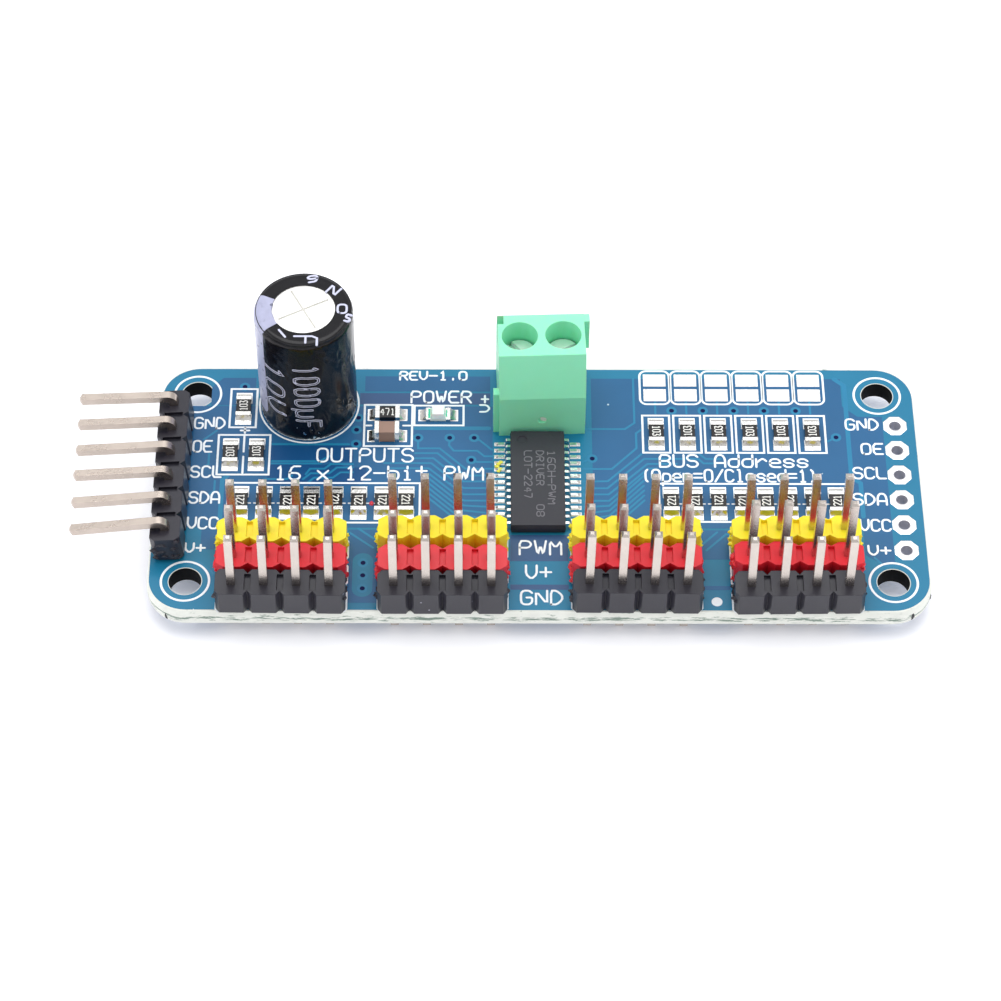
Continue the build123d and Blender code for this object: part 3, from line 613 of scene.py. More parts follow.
# patches in front of the capacitor: the mask's deeper colour over copper, darkened further by the capacitor's painted
# shadow
deepAndShadowPatches = [
    [(-21.7, 2.5), (-15.0, 2.5), (-15.0, 4.2), (-21.7, 4.2)],
    [(-21.9, 0.1), (-14.6, 0.1), (-13.9, 0.7), (-13.9, 1.9), (-15.5, 1.9), (-16.0, 2.2), (-21.9, 2.2)],
]
filledPlate("tone_deep_and_shadow", deepAndShadowPatches, [], maskTop, pourTop + 0.002, deepMaskAndShadow)
slotOutline = roundedBox(-14.78, -13.16, -11.02, -6.75, 0.78)
filledPlate("tone_slot", [slotOutline], [], maskTop, pourTop + 0.002, bareMask)
print("mask laid")

# routes of the copper lines that show through the mask: (width, points)
fine, medium, broad = 0.2, 0.26, 0.42
routes = [
    (fine, [(3.9, 5.95), (7.1, 5.95), (7.9, 6.6), (7.9, 11.3)]),
    (fine, [(8.4, 5.86), (8.0, 5.5), (8.0, 3.95), (5.95, 1.8), (3.6, 1.8)]),
    (fine, [(8.4, 3.36), (5.6, 0.55), (3.6, 0.5)]),
    (fine, [(14.4, 2.4), (13.4, 2.4), (13.0, 2.86), (8.6, 2.86), (5.55, -0.18), (3.6, -0.18)]),
    (fine, [(11.2, 2.34), (8.86, 2.34), (5.64, -0.8), (3.6, -0.8)]),
    (fine, [(9.6, 1.86), (8.9, 1.86), (5.66, -1.45), (3.6, -1.45)]),
    (fine, [(13.1, 3.36), (13.6, 2.86), (14.8, 2.86)]),
    (fine, [(13.3, -6.4), (14.9, -4.8), (15.1, -4.8)]),
    (fine, [(12.9, -5.9), (14.2, -4.6)]),
    (broad, [(24.5, 11.3), (25.3, 10.6), (25.3, 1.0), (26.0, 0.4), (26.0, -3.0)]),
    (fine, [(24.0, 4.95), (23.6, 4.7)]),
    (fine, [(26.6, -7.1), (27.3, -7.9), (28.6, -7.9)]),
    (broad, [(-10.0, 6.0), (-4.0, 6.0)]),
    (fine, [(-5.0, 4.77), (-4.77, 4.77), (-3.77, 3.77)]),
    (fine, [(-7.2, 4.6), (-7.25, 4.23), (-6.86, 3.66), (-4.95, 3.66), (-4.36, 3.09), (-3.68, 3.09)]),
    (fine, [(-9.77, 4.6), (-9.75, 3.9), (-8.0, 3.9), (-5.9, 1.8), (-3.6, 1.8)]),
    (fine, [(-10.0, 3.4), (-8.18, 3.4), (-5.9, 1.1), (-3.6, 1.1)]),
    (fine, [(-10.0, 2.87), (-8.5, 2.87), (-6.1, 0.5), (-3.6, 0.5)]),
    (fine, [(-12.5, 2.37), (-8.68, 2.37), (-6.05, -0.18), (-3.6, -0.18)]),
    (fine, [(-11.95, 1.83), (-8.86, 1.83), (-6.05, -0.82), (-3.6, -0.82)]),
    (fine, [(-5.0, 2.5), (-3.7, 2.5)]),
    (fine, [(4.1, 2.8), (3.6, 2.5)]),
    (medium, [(-21.6, 4.3), (-15.4, 4.3)]),
    (fine, [(-21.6, 2.55), (-17.7, 2.55), (-16.9, 3.1)]),
    (fine, [(-21.6, 2.3), (-17.6, 2.3)]),
    (fine, [(-22.1, 0.7), (-20.3, 0.7), (-19.9, 1.05)]),
    (fine, [(-18.8, 1.2), (-18.45, 1.77), (-17.3, 1.77), (-16.8, 2.25), (-15.0, 2.25)]),
    (fine, [(-19.0, 0.7), (-18.4, 1.3), (-16.9, 1.3), (-16.3, 1.9), (-15.0, 1.9)]),
    (fine, [(-18.6, 0.35), (-18.1, 0.85), (-16.6, 0.85), (-16.0, 1.4), (-15.0, 1.4)]),
    (fine, [(-26.2, 5.7), (-27.2, 4.77)]),
    (fine, [(-26.7, 3.5), (-26.7, 2.2), (-27.3, 1.7)]),
    (fine, [(-26.1, 0.5), (-26.1, -0.5), (-26.5, -0.9)]),
    (broad, [(-25.1, 1.05), (-25.5, 0.6), (-25.5, -3.6)]),
    (fine, [(-15.1, -4.7), (-13.2, -6.2)]),
    (fine, [(-14.4, -4.3), (-12.9, -5.5)]),
    (fine, [(-28.1, -7.7), (-26.9, -7.7), (-25.7, -8.8)]),
]
step, fan = 0.5, 0.65  # further diagonals, a step apart, spread by the fan where they meet the chip
for k in range(1, 7):
    routes.append((fine, [(8.5, 1.6 - k * step), (5.66, -1.45 - k * step), (3.6, -1.45 - k * fan)]))
    routes.append((fine, [(-8.8, 1.75 - k * step), (-6.05, -0.95 - k * step), (-3.6, -0.82 - k * fan)]))
routes += [(fine, [(9.65 + pitch * k, 9.0), (9.65 + pitch * k, 7.6)]) for k in range(6)]
addPiece("copper_lines", [carried(path, ribbonProfile(width, maskTop - 0.005, traceTop)) for width, path in routes],
         traceMask)

vias = [(10.98, 7.9), (13.54, 7.9), (16.07, 7.9), (18.56, 7.9), (21.16, 7.9), (24.31, 5.13), (-9.77, 5.0),
        (-7.2, 5.0), (-5.2, 5.0), (-5.43, 2.7), (4.38, 2.87), (-14.68, 7.08), (-14.81, 5.82), (-14.81, 4.35),
        (-24.11, 10.34), (-13.95, -7.70), (-13.95, -8.93), (-13.95, -10.20)]
addPiece("via_rings", [ringPlate(x, y, 0.18, roundAt(0.44), maskTop - 0.005, traceTop + 0.004, 20) for x, y in vias],
         traceMask)
# painted shade: a near-black plug in each via stands in for the shade inside the hole
addPiece("via_hole_shade", [lathed([(0.001, traceTop + 0.001), (0.21, traceTop + 0.001), (0.21, boardTop),
                               (0.001, boardTop)],
                              x, y, 14, closed=True) for x, y in vias], viaHoleShade, merge=True)

# plated holes for a second bus header, and near-black walls of painted shade inside the mounting holes
addPiece("bus_pads_top", [ringPlate(x, y, board["busHoleRadius"], octagonAt(board["busPadFlat"]), padFoot,
                                    padTop + 0.005) for x, y in busHoles], tinPad)
plating = {"outer": 0.5, "inner": 0.47, "top": boardTop + 0.02}
# partly painted reflection: pale plating, only partly metallic, whose diffuse colour stands in for the light the
# barrels reflect
addPiece("bus_hole_plating", [lathed([(plating["outer"], 0.0), (plating["outer"], plating["top"]),
                                      (plating["inner"], plating["top"]), (plating["inner"], 0.0)],
                                     x, y, 28, closed=True) for x, y in busHoles],
         finish("holePlatingPaintedLight", "#c9c9d2", 0.35, metallic=0.4, drift=0.3), smooth=True)
wall = {"outer": 1.302, "inner": 1.28, "low": 0.05, "high": boardTop - 0.03}
# painted shade: the near-black walls stand in for the shade inside the mounting holes
addPiece("mount_hole_shade_walls", [lathed([(wall["outer"], wall["low"]), (wall["outer"], wall["high"]),
                                      (wall["inner"], wall["high"]), (wall["inner"], wall["low"])],
                                     x, y, 64, closed=True) for x, y in mountHoles],
         finish("mountHoleShade", "#07090c", 0.7, drift=0.5, slowScale=3000, Specular_IOR_Level=0.15),
         smooth=True)
print("copper lines, vias and plated holes made")

# solder pads of the small parts: (node of the end caps, pad length along the part, pad width)
resistorRows = ["channel_resistors_1", "channel_resistors_2", "address_resistors", "pull_up_resistors"]
pads, wedges, codes = [], [], []
solderFoot = padTop - 0.01
resistorSpots = [(row, low, high) for row in resistorRows for low, high in clumps(row)]
for k, (row, low, high) in enumerate(resistorSpots):
    x, y = (low[:2] + high[:2]) / 2
    halfY = (high[1] - low[1]) / 2
    for way in (-1, 1):
        edge = y + way * (halfY + 0.03)
        far = y + way * 1.69
        y0, y1 = sorted((edge - way * 0.45, far))
        pads.append(slab(x - 0.66, x + 0.66, y0, y1, padFoot, padTop))
        wedges.append(wedge(x, edge, 1.22, 0.52, 0.4, way, solderFoot, 0.5 if way < 0 else 0.1))
    upside = k % 3 == 1
    code = "221" if row.startswith("channel") else "103"
    width, height = 0.98, 0.62
    side = -1 if upside else 1
    codes.append((code, x + side * height / 2, y - side * width / 2, width, height, side * 90))
addressXs = sorted((low[0] + high[0]) / 2 for row, low, high in resistorSpots if row == "address_resistors")

for node, halfPad in (("light_resistor", 0.62), ("bypass_capacitor", 0.62), ("power_light_base", 0.6)):
    low, high = boxOf(node)
    x, y = (low[:2] + high[:2]) / 2
    reach = (high[0] - low[0]) / 2
    for way in (-1, 1):
        x0, x1 = sorted((x + way * (reach - 0.4), x + way * (reach + 0.66)))
        pads.append(slab(x0, x1, y - halfPad, y + halfPad, padFoot, padTop))
        points, faces = wedge(0, reach + 0.03, 1.1, 0.5, 0.4, 1, solderFoot, 0.2)
        turned = np.stack([x + way * points[:, 1], y + points[:, 0], points[:, 2]], 1)
        wedges.append((turned, faces))
lightLow, lightHigh = boxOf("light_resistor")
codes.append(("471", (lightLow[0] + lightHigh[0]) / 2 - 0.58, (lightLow[1] + lightHigh[1]) / 2 - 0.34, 1.16, 0.68, 0))

# open solder bridges behind the address resistors
bridge = {"padWidth": 1.86, "padDepth": 1.29, "backY": 11.12, "frontY": 9.55}
for x in addressXs:
    for y in (bridge["backY"], bridge["frontY"]):
        pads.append(slab(x - bridge["padWidth"] / 2, x + bridge["padWidth"] / 2, y - bridge["padDepth"] / 2,
                         y + bridge["padDepth"] / 2, padFoot, padTop))

# chip pads: one in front of each lead's toe
chipLow, chipHigh = boxOf("driver_chip_body")
leadsLow, leadsHigh = boxOf("driver_chip_leads")
chipX, chipY = (chipLow[0] + chipHigh[0]) / 2, (chipLow[1] + chipHigh[1]) / 2
leadYs = chipY + (np.arange(14) - 6.5) * 0.65
for way in (-1, 1):
    toe = leadsLow[0] if way < 0 else leadsHigh[0]
    for y in leadYs:
        x0, x1 = sorted((toe - way * 0.55, toe + way * 0.30))
        pads.append(slab(x0, x1, y - 0.19, y + 0.19, padFoot, padTop, 0.008))
        points, faces = wedge(0, 0, 0.3, 0.26, 0.13, 1, solderFoot, 0.0, 5)
        wedges.append((np.stack([toe + way * points[:, 1], y + points[:, 0], points[:, 2]], 1), faces))
addPiece("surface_pads", pads, tinPad)
addPiece("surface_solder", wedges, solderShine, smooth=True)
bodyTop = boxOf("address_resistors")[1][2]
addPiece("resistor_codes", lettering(codes, bodyTop - 0.004, bodyTop + 0.010, 0.085), codeInk)
print("pads, solder and codes made:", len(pads), "pads")

# ink legends: (text, left, foot, width, height, turn)
legends = [
    ("GND", 25.18, 5.93, 2.62, 1.11, 0), ("OE", 26.31, 3.40, 1.71, 1.07, 0), ("SCL", 25.50, 0.88, 2.59, 1.11, 0),
    ("SDA", 25.32, -1.80, 2.65, 1.12, 0), ("VCC", 25.71, -4.42, 2.39, 1.11, 0), ("V+", 26.18, -6.86, 1.73, 0.95, 0),
    ("GND", -28.03, 5.94, 2.43, 1.11, 0), ("OE", -28.02, 3.49, 1.48, 1.14, 0), ("SCL", -28.05, 0.88, 2.4, 1.11, 0),
    ("SDA", -28.05, -1.75, 2.4, 1.12, 0), ("VCC", -28.05, -4.32, 2.4, 1.11, 0), ("V+", -28.09, -6.70, 1.54, 0.9, 0),
    ("POWER", -10.37, 8.70, 4.89, 1.20, 0), ("V+", -3.93, 7.74, 1.7, 0.8, 90), ("REV-1.0", -11.35, 11.13, 5.5, 0.88, 0),
    ("OUTPUTS", -17.92, 2.50, 7.75, 1.35, 0), ("16 x 12-bit PWM", -21.25, 0.65, 16.78, 1.36, 0),
    ("BUS Address", 9.86, 2.03, 11.98, 1.24, 0), ("(Open=0/Closed=1)", 8.34, 0.52, 14.2, 1.22, 0),
    ("PWM", -1.55, -6.85, 3.30, 1.35, 0), ("V+", -1.06, -9.24, 1.99, 1.32, 0), ("GND", -1.47, -11.72, 3.24, 1.33, 0),
]
inkLow = maskTop - 0.005
inkLine = board["inkLine"]
ink = lettering(legends, inkLow, inkTop, inkLine)


def framed(x0, x1, y0, y1, radius=0.0, width=inkLine):
    path = roundedBox(x0, x1, y0, y1, radius) if radius else [(x0, y0), (x1, y0), (x1, y1), (x0, y1)]
    return carried(path, ribbonProfile(width, inkLow, inkTop), closed=True)


def drawn(path, width=inkLine):
    return carried(path, ribbonProfile(width, inkLow, inkTop))


ink += [framed(-24.99, -9.55, -3.70, 0.30), framed(9.69, 25.15, -3.56, 0.30)]
for xs in ([(l[0] + h[0]) / 2 for r, l, h in resistorSpots if r == "channel_resistors_1"],
           [(l[0] + h[0]) / 2 for r, l, h in resistorSpots if r == "channel_resistors_2"]):
    for left, right in zip(xs[:-1], xs[1:]):
        middle = (left + right) / 2
        ink += [drawn([(middle - 0.30, -1.75), (middle - 0.14, -1.75)], 0.14),
                drawn([(middle + 0.14, -1.75), (middle + 0.30, -1.75)], 0.14)]
for x in addressXs:
    ink += [framed(x - 1.1, x + 1.1, 3.50, 7.38), framed(x - 1.22, x + 1.22, 8.58, 12.12, 0.55)]
    ink += [drawn([(x - 0.45, 7.05), (x + 0.45, 7.05)], 0.14)]
ink += [framed(-25.20, -23.05, 6.05, 10.1), framed(-26.0, -21.8, 1.15, 5.25)]
ink += [drawn([(-23.92, 1.3), (-23.92, 3.0)]), drawn([(-23.92, 3.5), (-23.92, 5.1)]),
        drawn([(-24.25, 5.72), (-23.55, 5.72)]), drawn([(-23.9, 5.45), (-23.9, 6.0)])]
ink += [framed(-14.18, -10.28, 4.12, 8.45), drawn([(-14.05, 6.27), (-13.6, 6.27)]),
        drawn([(-11.0, 6.27), (-10.4, 6.27)]), framed(-10.1, -6.08, 6.3, 8.38)]
canCircle = {"radius": 4.06, "from": 115, "to": 425}  # open where it would pass the board's back edge
ink.append(drawn(arcPath(*canMiddle[:2], canCircle["radius"], canCircle["from"], canCircle["to"], 96), 0.15))
ink += [carried(arcPath(x, y, board["ringRadius"], steps=64), ribbonProfile(0.2, inkLow, inkTop), True)
        for x, y in mountHoles]
for i in (1, 2, 3, 4):
    low, high = boxOf(f"ground_housing_{i}")
    top = boxOf(f"signal_housing_{i}")[1][1]
    for x, way in ((low[0], -1), (high[0], 1)):
        edge = x + way * 0.02
        for y0, y1 in ((low[1] + 0.55, low[1] + 2.2), (low[1] + 3.1, low[1] + 4.7), (low[1] + 5.6, top - 0.5)):
            lipX = edge - way * 0.2
            ink.append(drawn([(lipX, y0 - 0.25), (edge, y0), (edge, y1), (lipX, y1 + 0.25)], 0.15))
addPiece("ink_legends", ink, whiteInk)
addPiece("marking_dot", [lathed([(0.001, inkTop), (0.40, inkTop), (0.43, inkTop - 0.006), (0.43, inkLow),
                                 (0.001, inkLow)],
                                13.92, -11.44, 32, closed=True)], whiteInk, merge=True)
print("ink laid:", len(ink), "strokes")

# underside: pads and climbing solder round every tail, copper lines, and ink rings round the mounting holes
fillet = [(0.3, 0.0), (0.3, -0.88), (0.36, -0.86), (0.40, -0.70), (0.47, -0.48), (0.60, -0.26), (0.78, -0.10),
          (0.92, -0.035), (0.95, 0.0)]
addPiece("tail_solder", [lathed(fillet, x, y, 20, closed=True) for x, y in pinHoles + legs],
         solderShine, smooth=True, replaces=["solder_joints"])
addPiece("bus_pads_bottom", [ringPlate(x, y, 0.5, octagonAt(0.95), -0.03, 0.005) for x, y in busHoles],
         tinPad)
below = {"foot": -0.018, "copper": -0.032, "ink": -0.036}  # heights of what lies on the lower mask
under = [carried(path, ribbonProfile(width, below["foot"], below["copper"])) for width, path in [
    (broad, [(-24.6, 9.4), (-20.8, 9.4), (-20.8, 8.5)]),
    (fine, [(-29.2, 3.8), (-26.4, 3.8), (-22.4, 0.2), (-4.2, 0.2)]),
    (fine, [(-29.2, 1.3), (-26.9, 1.3), (-23.2, -2.3), (-3.4, -2.3), (-1.4, -4.2), (1.8, -4.2)]),
    (fine, [(-29.2, -1.3), (-27.2, -1.3), (-24.4, -4.1), (12.4, -4.1), (15.2, -1.3), (29.2, -1.3)]),
    (fine, [(29.2, 1.3), (14.8, 1.3), (10.98, 5.2), (10.98, 7.9)]),
    (fine, [(29.2, 3.8), (17.9, 3.8), (13.54, 7.2), (13.54, 7.9)]),
    (broad, [(-27.2, 6.3), (-16.7, 6.3), (-16.7, 8.5)]),
]]
addPiece("copper_lines_bottom", under, traceMask)
ringBelow = ribbonProfile(0.2, below["foot"], below["ink"])
addPiece("ink_bottom", [carried(arcPath(x, y, board["ringRadius"], steps=48), ringBelow, True) for x, y in mountHoles],
         whiteInk)
print("underside made")

# capacitor: shrunk film sleeve with its stripe and lettering
sleeveLow, sleeveHigh = boxOf("capacitor_sleeve")
sleeve = {
    "radius": (sleeveHigh[0] - sleeveLow[0]) / 2 - 0.045, "low": sleeveLow[2], "high": sleeveHigh[2] - 0.02,
    "opening": 2.52, "shoulder": 0.55, "crease": 0.06,
    "stripeFrom": 157, "stripeTo": 217, "stripeFoot": 3.05,
}
capX, capY = canMiddle[:2]


def sleeveOutline(steps=60):
    # (radius, height) of the film's outside: turned under the foot, straight side, round shoulder, flat top ring
    s, full = sleeve["shoulder"], sleeve["radius"]
    a = np.radians(np.linspace(0, 90, 9))
    foot = [(full - 0.66, sleeve["low"]), (full - 0.25, sleeve["low"]), (full - 0.06, sleeve["low"] + 0.12)]
    side = [(full, z) for z in np.linspace(sleeve["low"] + 0.4, sleeve["high"] - s, steps)]
    shoulder = np.stack([full - s + s * np.cos(a), sleeve["high"] - s + s * np.sin(a)], 1)[1:].tolist()
    top = [(r, sleeve["high"] - 0.02 * (full - s - r)) for r in np.linspace(full - s, sleeve["opening"], 7)[1:]]
    return np.array(foot + side + shoulder + top)


def filmCrease(angle, z):
    # how far the film sinks: long soft ripples up the side, and short slanted ones near the foot and shoulder
    foot = np.exp(-((z - sleeve["low"]) / 2.6) ** 2)
    right = 0.5 + 0.5 * np.cos(angle - math.radians(-35))
    long = np.sin(angle * 23 + 1.7 * np.sin(z * 0.9)) * 0.5 + 0.5
    slant = np.sin(angle * 31 + z * 5.1 + 1.3 * np.sin(z * 3.1)) * np.sin(z * 2.3 - angle * 9)
    patch = np.clip(np.sin(angle * 5.0 + z * 1.1) + 0.2, 0, 1)
    return sleeve["crease"] * (0.25 * long + (0.35 + foot + 0.5 * right) * np.clip(slant, 0, 1) * patch)


def onFilm(angle, radius, z, lift):
    # a point of the film: radius less its crease, lifted square to the outline
    sunk = np.where(radius > sleeve["radius"] - 0.2, filmCrease(angle, z), 0)
    nearTop = np.clip((z - (sleeve["high"] - sleeve["shoulder"])) / sleeve["shoulder"], 0, 1)
    r = radius - sunk + lift * np.sqrt(1 - nearTop ** 2)
    return np.stack(np.broadcast_arrays(capX + r * np.cos(angle), capY + r * np.sin(angle), z + lift * nearTop), -1)


outline = sleeveOutline()
steps = 180
angles = np.arange(steps) * 2 * np.pi / steps
outerFilm = onFilm(angles[None, :], outline[:, :1], outline[:, 1:], 0.0)
innerOutline = np.array([(sleeve["opening"], sleeve["high"] - 0.11), (sleeve["radius"] - 0.13, sleeve["high"] - 0.11),
                         (sleeve["radius"] - 0.13, sleeve["low"] + 0.05),
                         (sleeve["radius"] - 0.66, sleeve["low"] + 0.05)])
innerFilm = np.stack([capX + innerOutline[:, :1] * np.cos(angles), capY + innerOutline[:, :1] * np.sin(angles),
                      innerOutline[:, 1:] + 0 * angles], -1)
film = np.concatenate([outerFilm, innerFilm]).reshape(-1, 3)
addPiece("film_sleeve", [(film, gridFaces(len(outline) + 4, steps, True, True))], sleeveFilm,
         smooth=True, replaces=["capacitor_sleeve"])

stripeRows = outline[outline[:, 1] > sleeve["stripeFoot"]]
across = np.linspace(0, 1, 41)[None, :]
rise = np.clip((stripeRows[:, 1:] - sleeve["stripeFoot"]) / 0.9, 0, 1)
squeeze = 0.5 + 0.5 * np.sqrt(1 - (1 - rise) ** 2)
middle = (sleeve["stripeFrom"] + sleeve["stripeTo"]) / 2
spread = (sleeve["stripeTo"] - sleeve["stripeFrom"]) / 2 * squeeze
stripeAngles = np.radians(middle + spread * (2 * across - 1))
stripeOut = onFilm(stripeAngles, stripeRows[:, :1], stripeRows[:, 1:], 0.022)
stripeIn = onFilm(stripeAngles, stripeRows[:, :1], stripeRows[:, 1:], -0.03)[:, ::-1]
stripe = np.concatenate([stripeOut, stripeIn], 1)
addPiece("film_stripe", [(stripe.reshape(-1, 3), loopFaces(*stripe.shape[:2]))], stripeInk, smooth=True)


def wrappedStrokes(text, centre, foot, head, width, height, thickness, lift, slant=0.0):
    # flat strokes (u along the text, v up the letters, h off the face) wrapped on the film, text running downwards:
    # angle = centre + (v - half the height) / radius, z = head - u
    shapes = []
    for stroke in strokesOf(text, width, height, slant, 0.6):
        points, faces = carried(finer(eased(stroke)), ribbonProfile(thickness, -0.04, lift))
        angle = math.radians(centre) + (points[:, 1] - height / 2) / sleeve["radius"]
        z = head - points[:, 0] * (head - foot) / width
        shapes.append((onFilm(angle, np.full(len(z), sleeve["radius"]), z, points[:, 2]), faces))
    return shapes


def finer(path, longest=0.25):
    # extra points along long straight runs, so they can bend round the film
    p = np.asarray(path)
    counts = np.maximum(np.ceil(np.linalg.norm(np.diff(p, axis=0), axis=1) / longest), 1).astype(int)
    runs = [a + (b - a) * np.linspace(0, 1, n + 1)[:-1, None] for a, b, n in zip(p[:-1], p[1:], counts)]
    return np.concatenate([*runs, p[-1:]])


filmText = [("!000uF", -87, 3.45, 11.0, 7.5, 1.95, 0.0), ("!0V", -129, 4.7, 10.3, 5.0, 1.9, 0.05)]
ringText = [("F", -0.62, -2.86, 0.88, 1.8, -90), ("0", 2.72, -0.45, 0.72, 0.9, 0), ("5", 3.28, -1.22, 0.38, 0.7, -18),
            ("N", 1.75, 1.8, 0.75, 1.0, -38), ("9", 0.35, 2.78, 0.75, 0.62, 12), ("-", -2.05, -2.35, 0.9, 0.5, -55)]
ringPlaces = [(text, capX + x, capY + y, w, h, turn) for text, x, y, w, h, turn in ringText]
ringTop = sleeve["high"] - 0.005
outer, inner = [], []
for text, centre, foot, head, width, height, slant in filmText:
    outer += wrappedStrokes(text, centre, foot, head, width, height, 0.27, 0.014, slant)
    inner += wrappedStrokes(text, centre, foot, head, width, height, 0.09, 0.020, slant)
outer += lettering(ringPlaces, ringTop - 0.08, ringTop + 0.008, 0.2)
addPiece("film_lettering", outer, sleeveInk)
addPiece("film_lettering_core", inner, sleeveFilm)
print("capacitor dressed")

# chip lettering: pale laser marks, running down the body
chipTop = chipHigh[2]
marks = [("16CH-PWM", 0.76, 2.75, 5.4, 0.6, -90), ("DRIVER", -0.16, 2.75, 3.5, 0.6, -90),
         ("08", -0.16, -2.75, 1.15, 0.6, -90), ("LOT-2247", -1.12, 2.75, 4.8, 0.6, -90)]
marks = [(text, chipX + x + 0.05, chipY + y, w, h, turn) for text, x, y, w, h, turn in marks]
addPiece("chip_marks", lettering(marks, chipTop - 0.006, chipTop + 0.004, 0.095), chipInk)


def lump(x, y, z, sizes, seed, rows=8, cols=14, rough=0.3):
    # closed blob: (sin a cos b, sin a sin b, cos a) stretched by sizes, each point pushed in or out at random
    draw = np.random.default_rng(seed)
    a = np.linspace(0.02, np.pi - 0.02, rows)[:, None]
    b = (np.arange(cols) * 2 * np.pi / cols)[None, :]
    push = 1 + rough * draw.uniform(-1, 1, (rows, cols))
    push[[0, -1]] = 1
    points = np.stack([x + sizes[0] * np.sin(a) * np.cos(b) * push, y + sizes[1] * np.sin(a) * np.sin(b) * push,
                       z + sizes[2] * np.cos(a) + 0 * b], -1).reshape(-1, 3)
    return points, loopFaces(rows, cols)


# painted shade: grey strips laid on the floors of the crossed scores in the can's top, darkening the grooves
scores = {"turns": (28, 118), "halfLength": 2.15, "width": 0.11, "floor": 0.092, "foot": 0.13, "step": 0.0013}
canTop = boxOf("capacitor_can")[1][2]
ventShadeStrips = []
for k, turn in enumerate(scores["turns"]):
    along = rotated([(-scores["halfLength"], 0), (scores["halfLength"], 0)], turn) + canMiddle[:2]
    top = canTop - scores["floor"] + k * scores["step"]
    ventShadeStrips.append(carried(along, ribbonProfile(scores["width"], canTop - scores["foot"], top)))
addPiece("vent_score_painted_shade", ventShadeStrips, finish("scoreShade", "#c9c7c0", 0.5, drift=0.3))

# torn plastic where the strips were snapped to length
stripKinds = (("yellow", "signal", yellowStrip), ("red", "power", redStrip), ("black", "ground", blackStrip))
for colour, rowName, material in stripKinds:
    shards = []
    for i in (1, 2, 3, 4):
        low, high = boxOf(f"{rowName}_housing_{i}")
        y = (low[1] + high[1]) / 2
        draw = np.random.default_rng(10 * i + len(rowName))
        for x, way in ((low[0], 1), (high[0], -1)):
            count = 9 if rowName != "ground" else 4
            for k in range(count):
                sy, sz = draw.uniform(-0.85, 0.85), draw.uniform(0.3, 2.2)
                size = draw.uniform(0.10, 0.26, 3) * ([1.3, 1.6, 1.2] if way > 0 else [0.9, 1.2, 1.0])
                size[0] = min(size[0], 0.3)
                outward = way * (0.02 + 0.12 * abs(sy))
                shards.append(lump(x + outward, y + sy, boardTop + sz, size, 100 * i + k, rough=0.5))
    if rowName == "ground":  # the long header by the bus labels was snapped too
        low, high = boxOf("bus_header_housing")
        places = np.random.default_rng(77).uniform(0, 1, (16, 2)) * [2.1, 2.2] + [low[0] + 0.25, low[2] + 0.2]
        shards += [lump(x, low[1] + 0.06, z, (0.26, 0.14, 0.22), 900 + k, rough=0.5) for k, (x, z) in enumerate(places)]
    addPiece(f"torn_{colour}_ends", shards, material)

# specks of inspection paint
paintSpecks = [lump(leadsLow[0] + 0.05 + 0.18 * math.sin(k * 2.1), 2.0 + 0.22 * k - 0.5, padTop + 0.05 + 0.02 * k,
                    (0.2, 0.13, 0.07), 40 + k, 6, 10, 0.5) for k in range(5)]
addPiece("paint_specks", paintSpecks, yellowPaint)
# dark marks on the corner walls: (side, degrees round the corner, height)
scuff = {"cornerRadius": 3.2, "sunk": 0.13, "sizes": (0.18, 0.18, 0.55),
         "spots": [(-1, 241, 0.65), (1, 299, 0.7), (1, 343, 0.75)]}
scuffs = []
for k, (side, turn, height) in enumerate(scuff["spots"]):
    reach = scuff["cornerRadius"] - scuff["sunk"]
    x = side * (halfLength - scuff["cornerRadius"]) + reach * math.cos(math.radians(turn))
    y = -(halfWidth - scuff["cornerRadius"]) + reach * math.sin(math.radians(turn))
    scuffs.append(lump(x, y, height, scuff["sizes"], 300 + k, 8, 14, 0.25))
addPiece("edge_scuffs", scuffs, finish("edgeScuff", "#181b1e", 0.6))
addPiece("red_speck", [lump(-13.4, -1.78, maskTop + 0.03, (0.2, 0.2, 0.09), 7, 6, 12, 0.35)], redPaint)
# the moulding gate on the terminal's front
housing = nodes["terminal_housing"]
place = housing.ray_cast((0.0005, -0.02, 0.0036), (0, 1, 0))[1]
gateX, gateY, gateZ = np.array(place) / mm
gate = lathed([(0.001, 0.05), (0.20, 0.045), (0.34, 0.02), (0.36, -0.05), (0.001, -0.05)], 0, 0, 20, closed=True)
gatePoints = np.stack([gateX + gate[0][:, 0], gateY - gate[0][:, 2], gateZ + gate[0][:, 1]], 1)
addPiece("terminal_gate_mark", [(gatePoints, gate[1])], finish("gateMark", "#e8f8ef", 0.2, drift=0.5, slowScale=6000),
         smooth=True, merge=True)
lensLow, lensHigh = boxOf("power_light_lens")
markY = (lensLow[1] + lensHigh[1]) / 2
markZs = 1.88, 1.915
addPiece("light_marks", [slab(lensLow[0] - 0.22, lensLow[0] - 0.04, markY - 0.5, markY + 0.5, *markZs),
                         slab(lensHigh[0] + 0.04, lensHigh[0] + 0.14, markY - 0.35, markY + 0.35, *markZs)],
         greenMark)
print("small marks made")

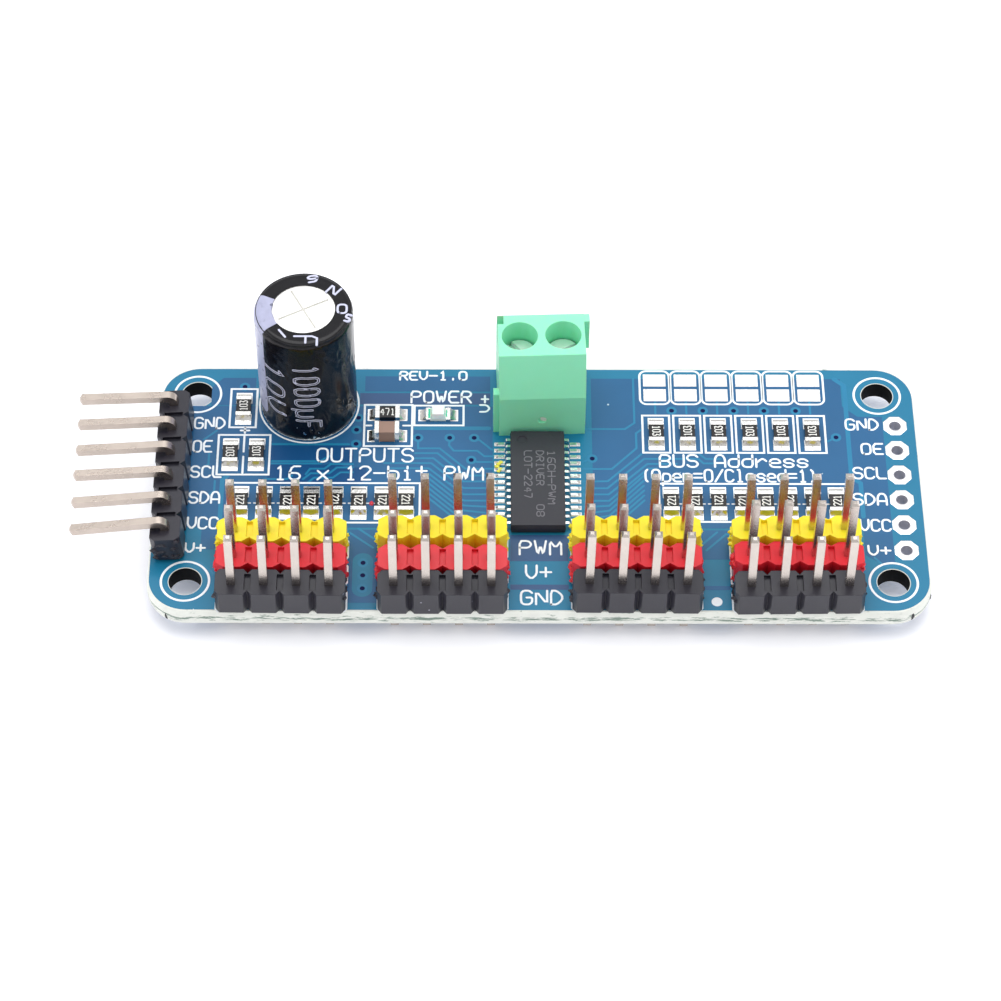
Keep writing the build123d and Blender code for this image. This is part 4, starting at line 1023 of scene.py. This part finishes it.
# finishes of the pieces that keep their CAD shape
finishes = {
    "circuit_board": laminate, "bus_header_housing": blackStrip, "bus_header_pins": busPinMetal,
    "ground_housing": blackStrip, "power_housing": redStrip, "signal_housing": yellowStrip,
    "ground_pins": pinMetal, "power_pins": pinMetal, "signal_pins": pinMetal, "capacitor_can": canMetal,
    "capacitor_sleeve": sleeveFilm, "capacitor_bung": bungRubber, "capacitor_winding": foilRoll,
    "capacitor_leads": leadTin, "terminal_housing": greenNylon, "terminal_cage": platedCage,
    "wire_clamp": platedCage, "terminal_screw": zincScrewPaintedLight, "driver_chip_body": chipEpoxy,
    "driver_chip_leads": leadTin, "driver_chip_paddle": leadTin, "driver_chip_die": dieSilicon,
    "channel_resistors": resistorGlaze, "address_resistors": resistorGlaze, "pull_up_resistors": resistorGlaze,
    "light_resistor": resistorGlaze, "bypass_capacitor": tanCeramic, "power_light_base": lightBase,
    "power_light_lens": lightLens, "solder_joints": solderShine,
}
for name, node in nodes.items():
    material = endCap if name.endswith("_caps") else next(m for start, m in finishes.items() if name.startswith(start))
    for place in node.material_slots:
        place.material = material

# floor, light and camera
studio = {"worldLight": 0.85, "overhead": 1.5, "side": 0.5, "floor": "#fdfcff", "floorZ": cadBounds[0][2] - 0.0001}
floorMesh = bpy.data.meshes.new("floor")
reach = 1.5
floorMesh.from_pydata([(-reach, -reach, studio["floorZ"]), (reach, -reach, studio["floorZ"]),
                       (reach, reach, studio["floorZ"]), (-reach, reach, studio["floorZ"])], [], [(0, 1, 2, 3)])
floor = bpy.data.objects.new("floor", floorMesh)
bpy.context.scene.collection.objects.link(floor)
floorMesh.materials.append(finish("paleFloor", studio["floor"], 0.9, drift=0.0, bump=0.0,
                                  Emission_Color=(0.97, 0.98, 1.0, 1),
                                  Emission_Strength=0.12))

world = bpy.data.worlds.new("studio")
bpy.context.scene.world = world
world.use_nodes = True
backdrop = world.node_tree.nodes["Background"]
backdrop.inputs["Color"].default_value = (0.97, 0.98, 1.0, 1)
backdrop.inputs["Strength"].default_value = studio["worldLight"]


def softbox(name, place, aim, size, power):
    lamp = bpy.data.lights.new(name, "AREA")
    lamp.shape = "RECTANGLE"
    lamp.size, lamp.size_y = size
    lamp.energy = power
    holder = bpy.data.objects.new(name, lamp)
    bpy.context.scene.collection.objects.link(holder)
    holder.location = place
    away = mathutils.Vector(place) - mathutils.Vector(aim)
    holder.rotation_euler = away.to_track_quat("Z", "Y").to_euler()


softbox("overhead", (0.0, 0.12, 0.5), (0, 0, 0), (0.5, 0.4), studio["overhead"])
softbox("leftSide", (-0.5, -0.05, 0.25), (0, 0, 0), (0.3, 0.3), studio["side"])
softbox("rightSide", (0.5, 0.0, 0.25), (0, 0, 0), (0.3, 0.3), studio["side"])

camera = bpy.data.cameras.new("camera")
camera.lens = 119.27
camera.sensor_width = 36
camera.clip_start = 0.01
eye = bpy.data.objects.new("camera", camera)
eye.location = (-0.00436, -0.16411, 0.21253)
eye.rotation_euler = [math.radians(a) for a in (37.643, -0.294, -0.075)]
bpy.context.scene.collection.objects.link(eye)
bpy.context.scene.camera = eye
bpy.context.scene.view_settings.view_transform = "Standard"
print("studio set")
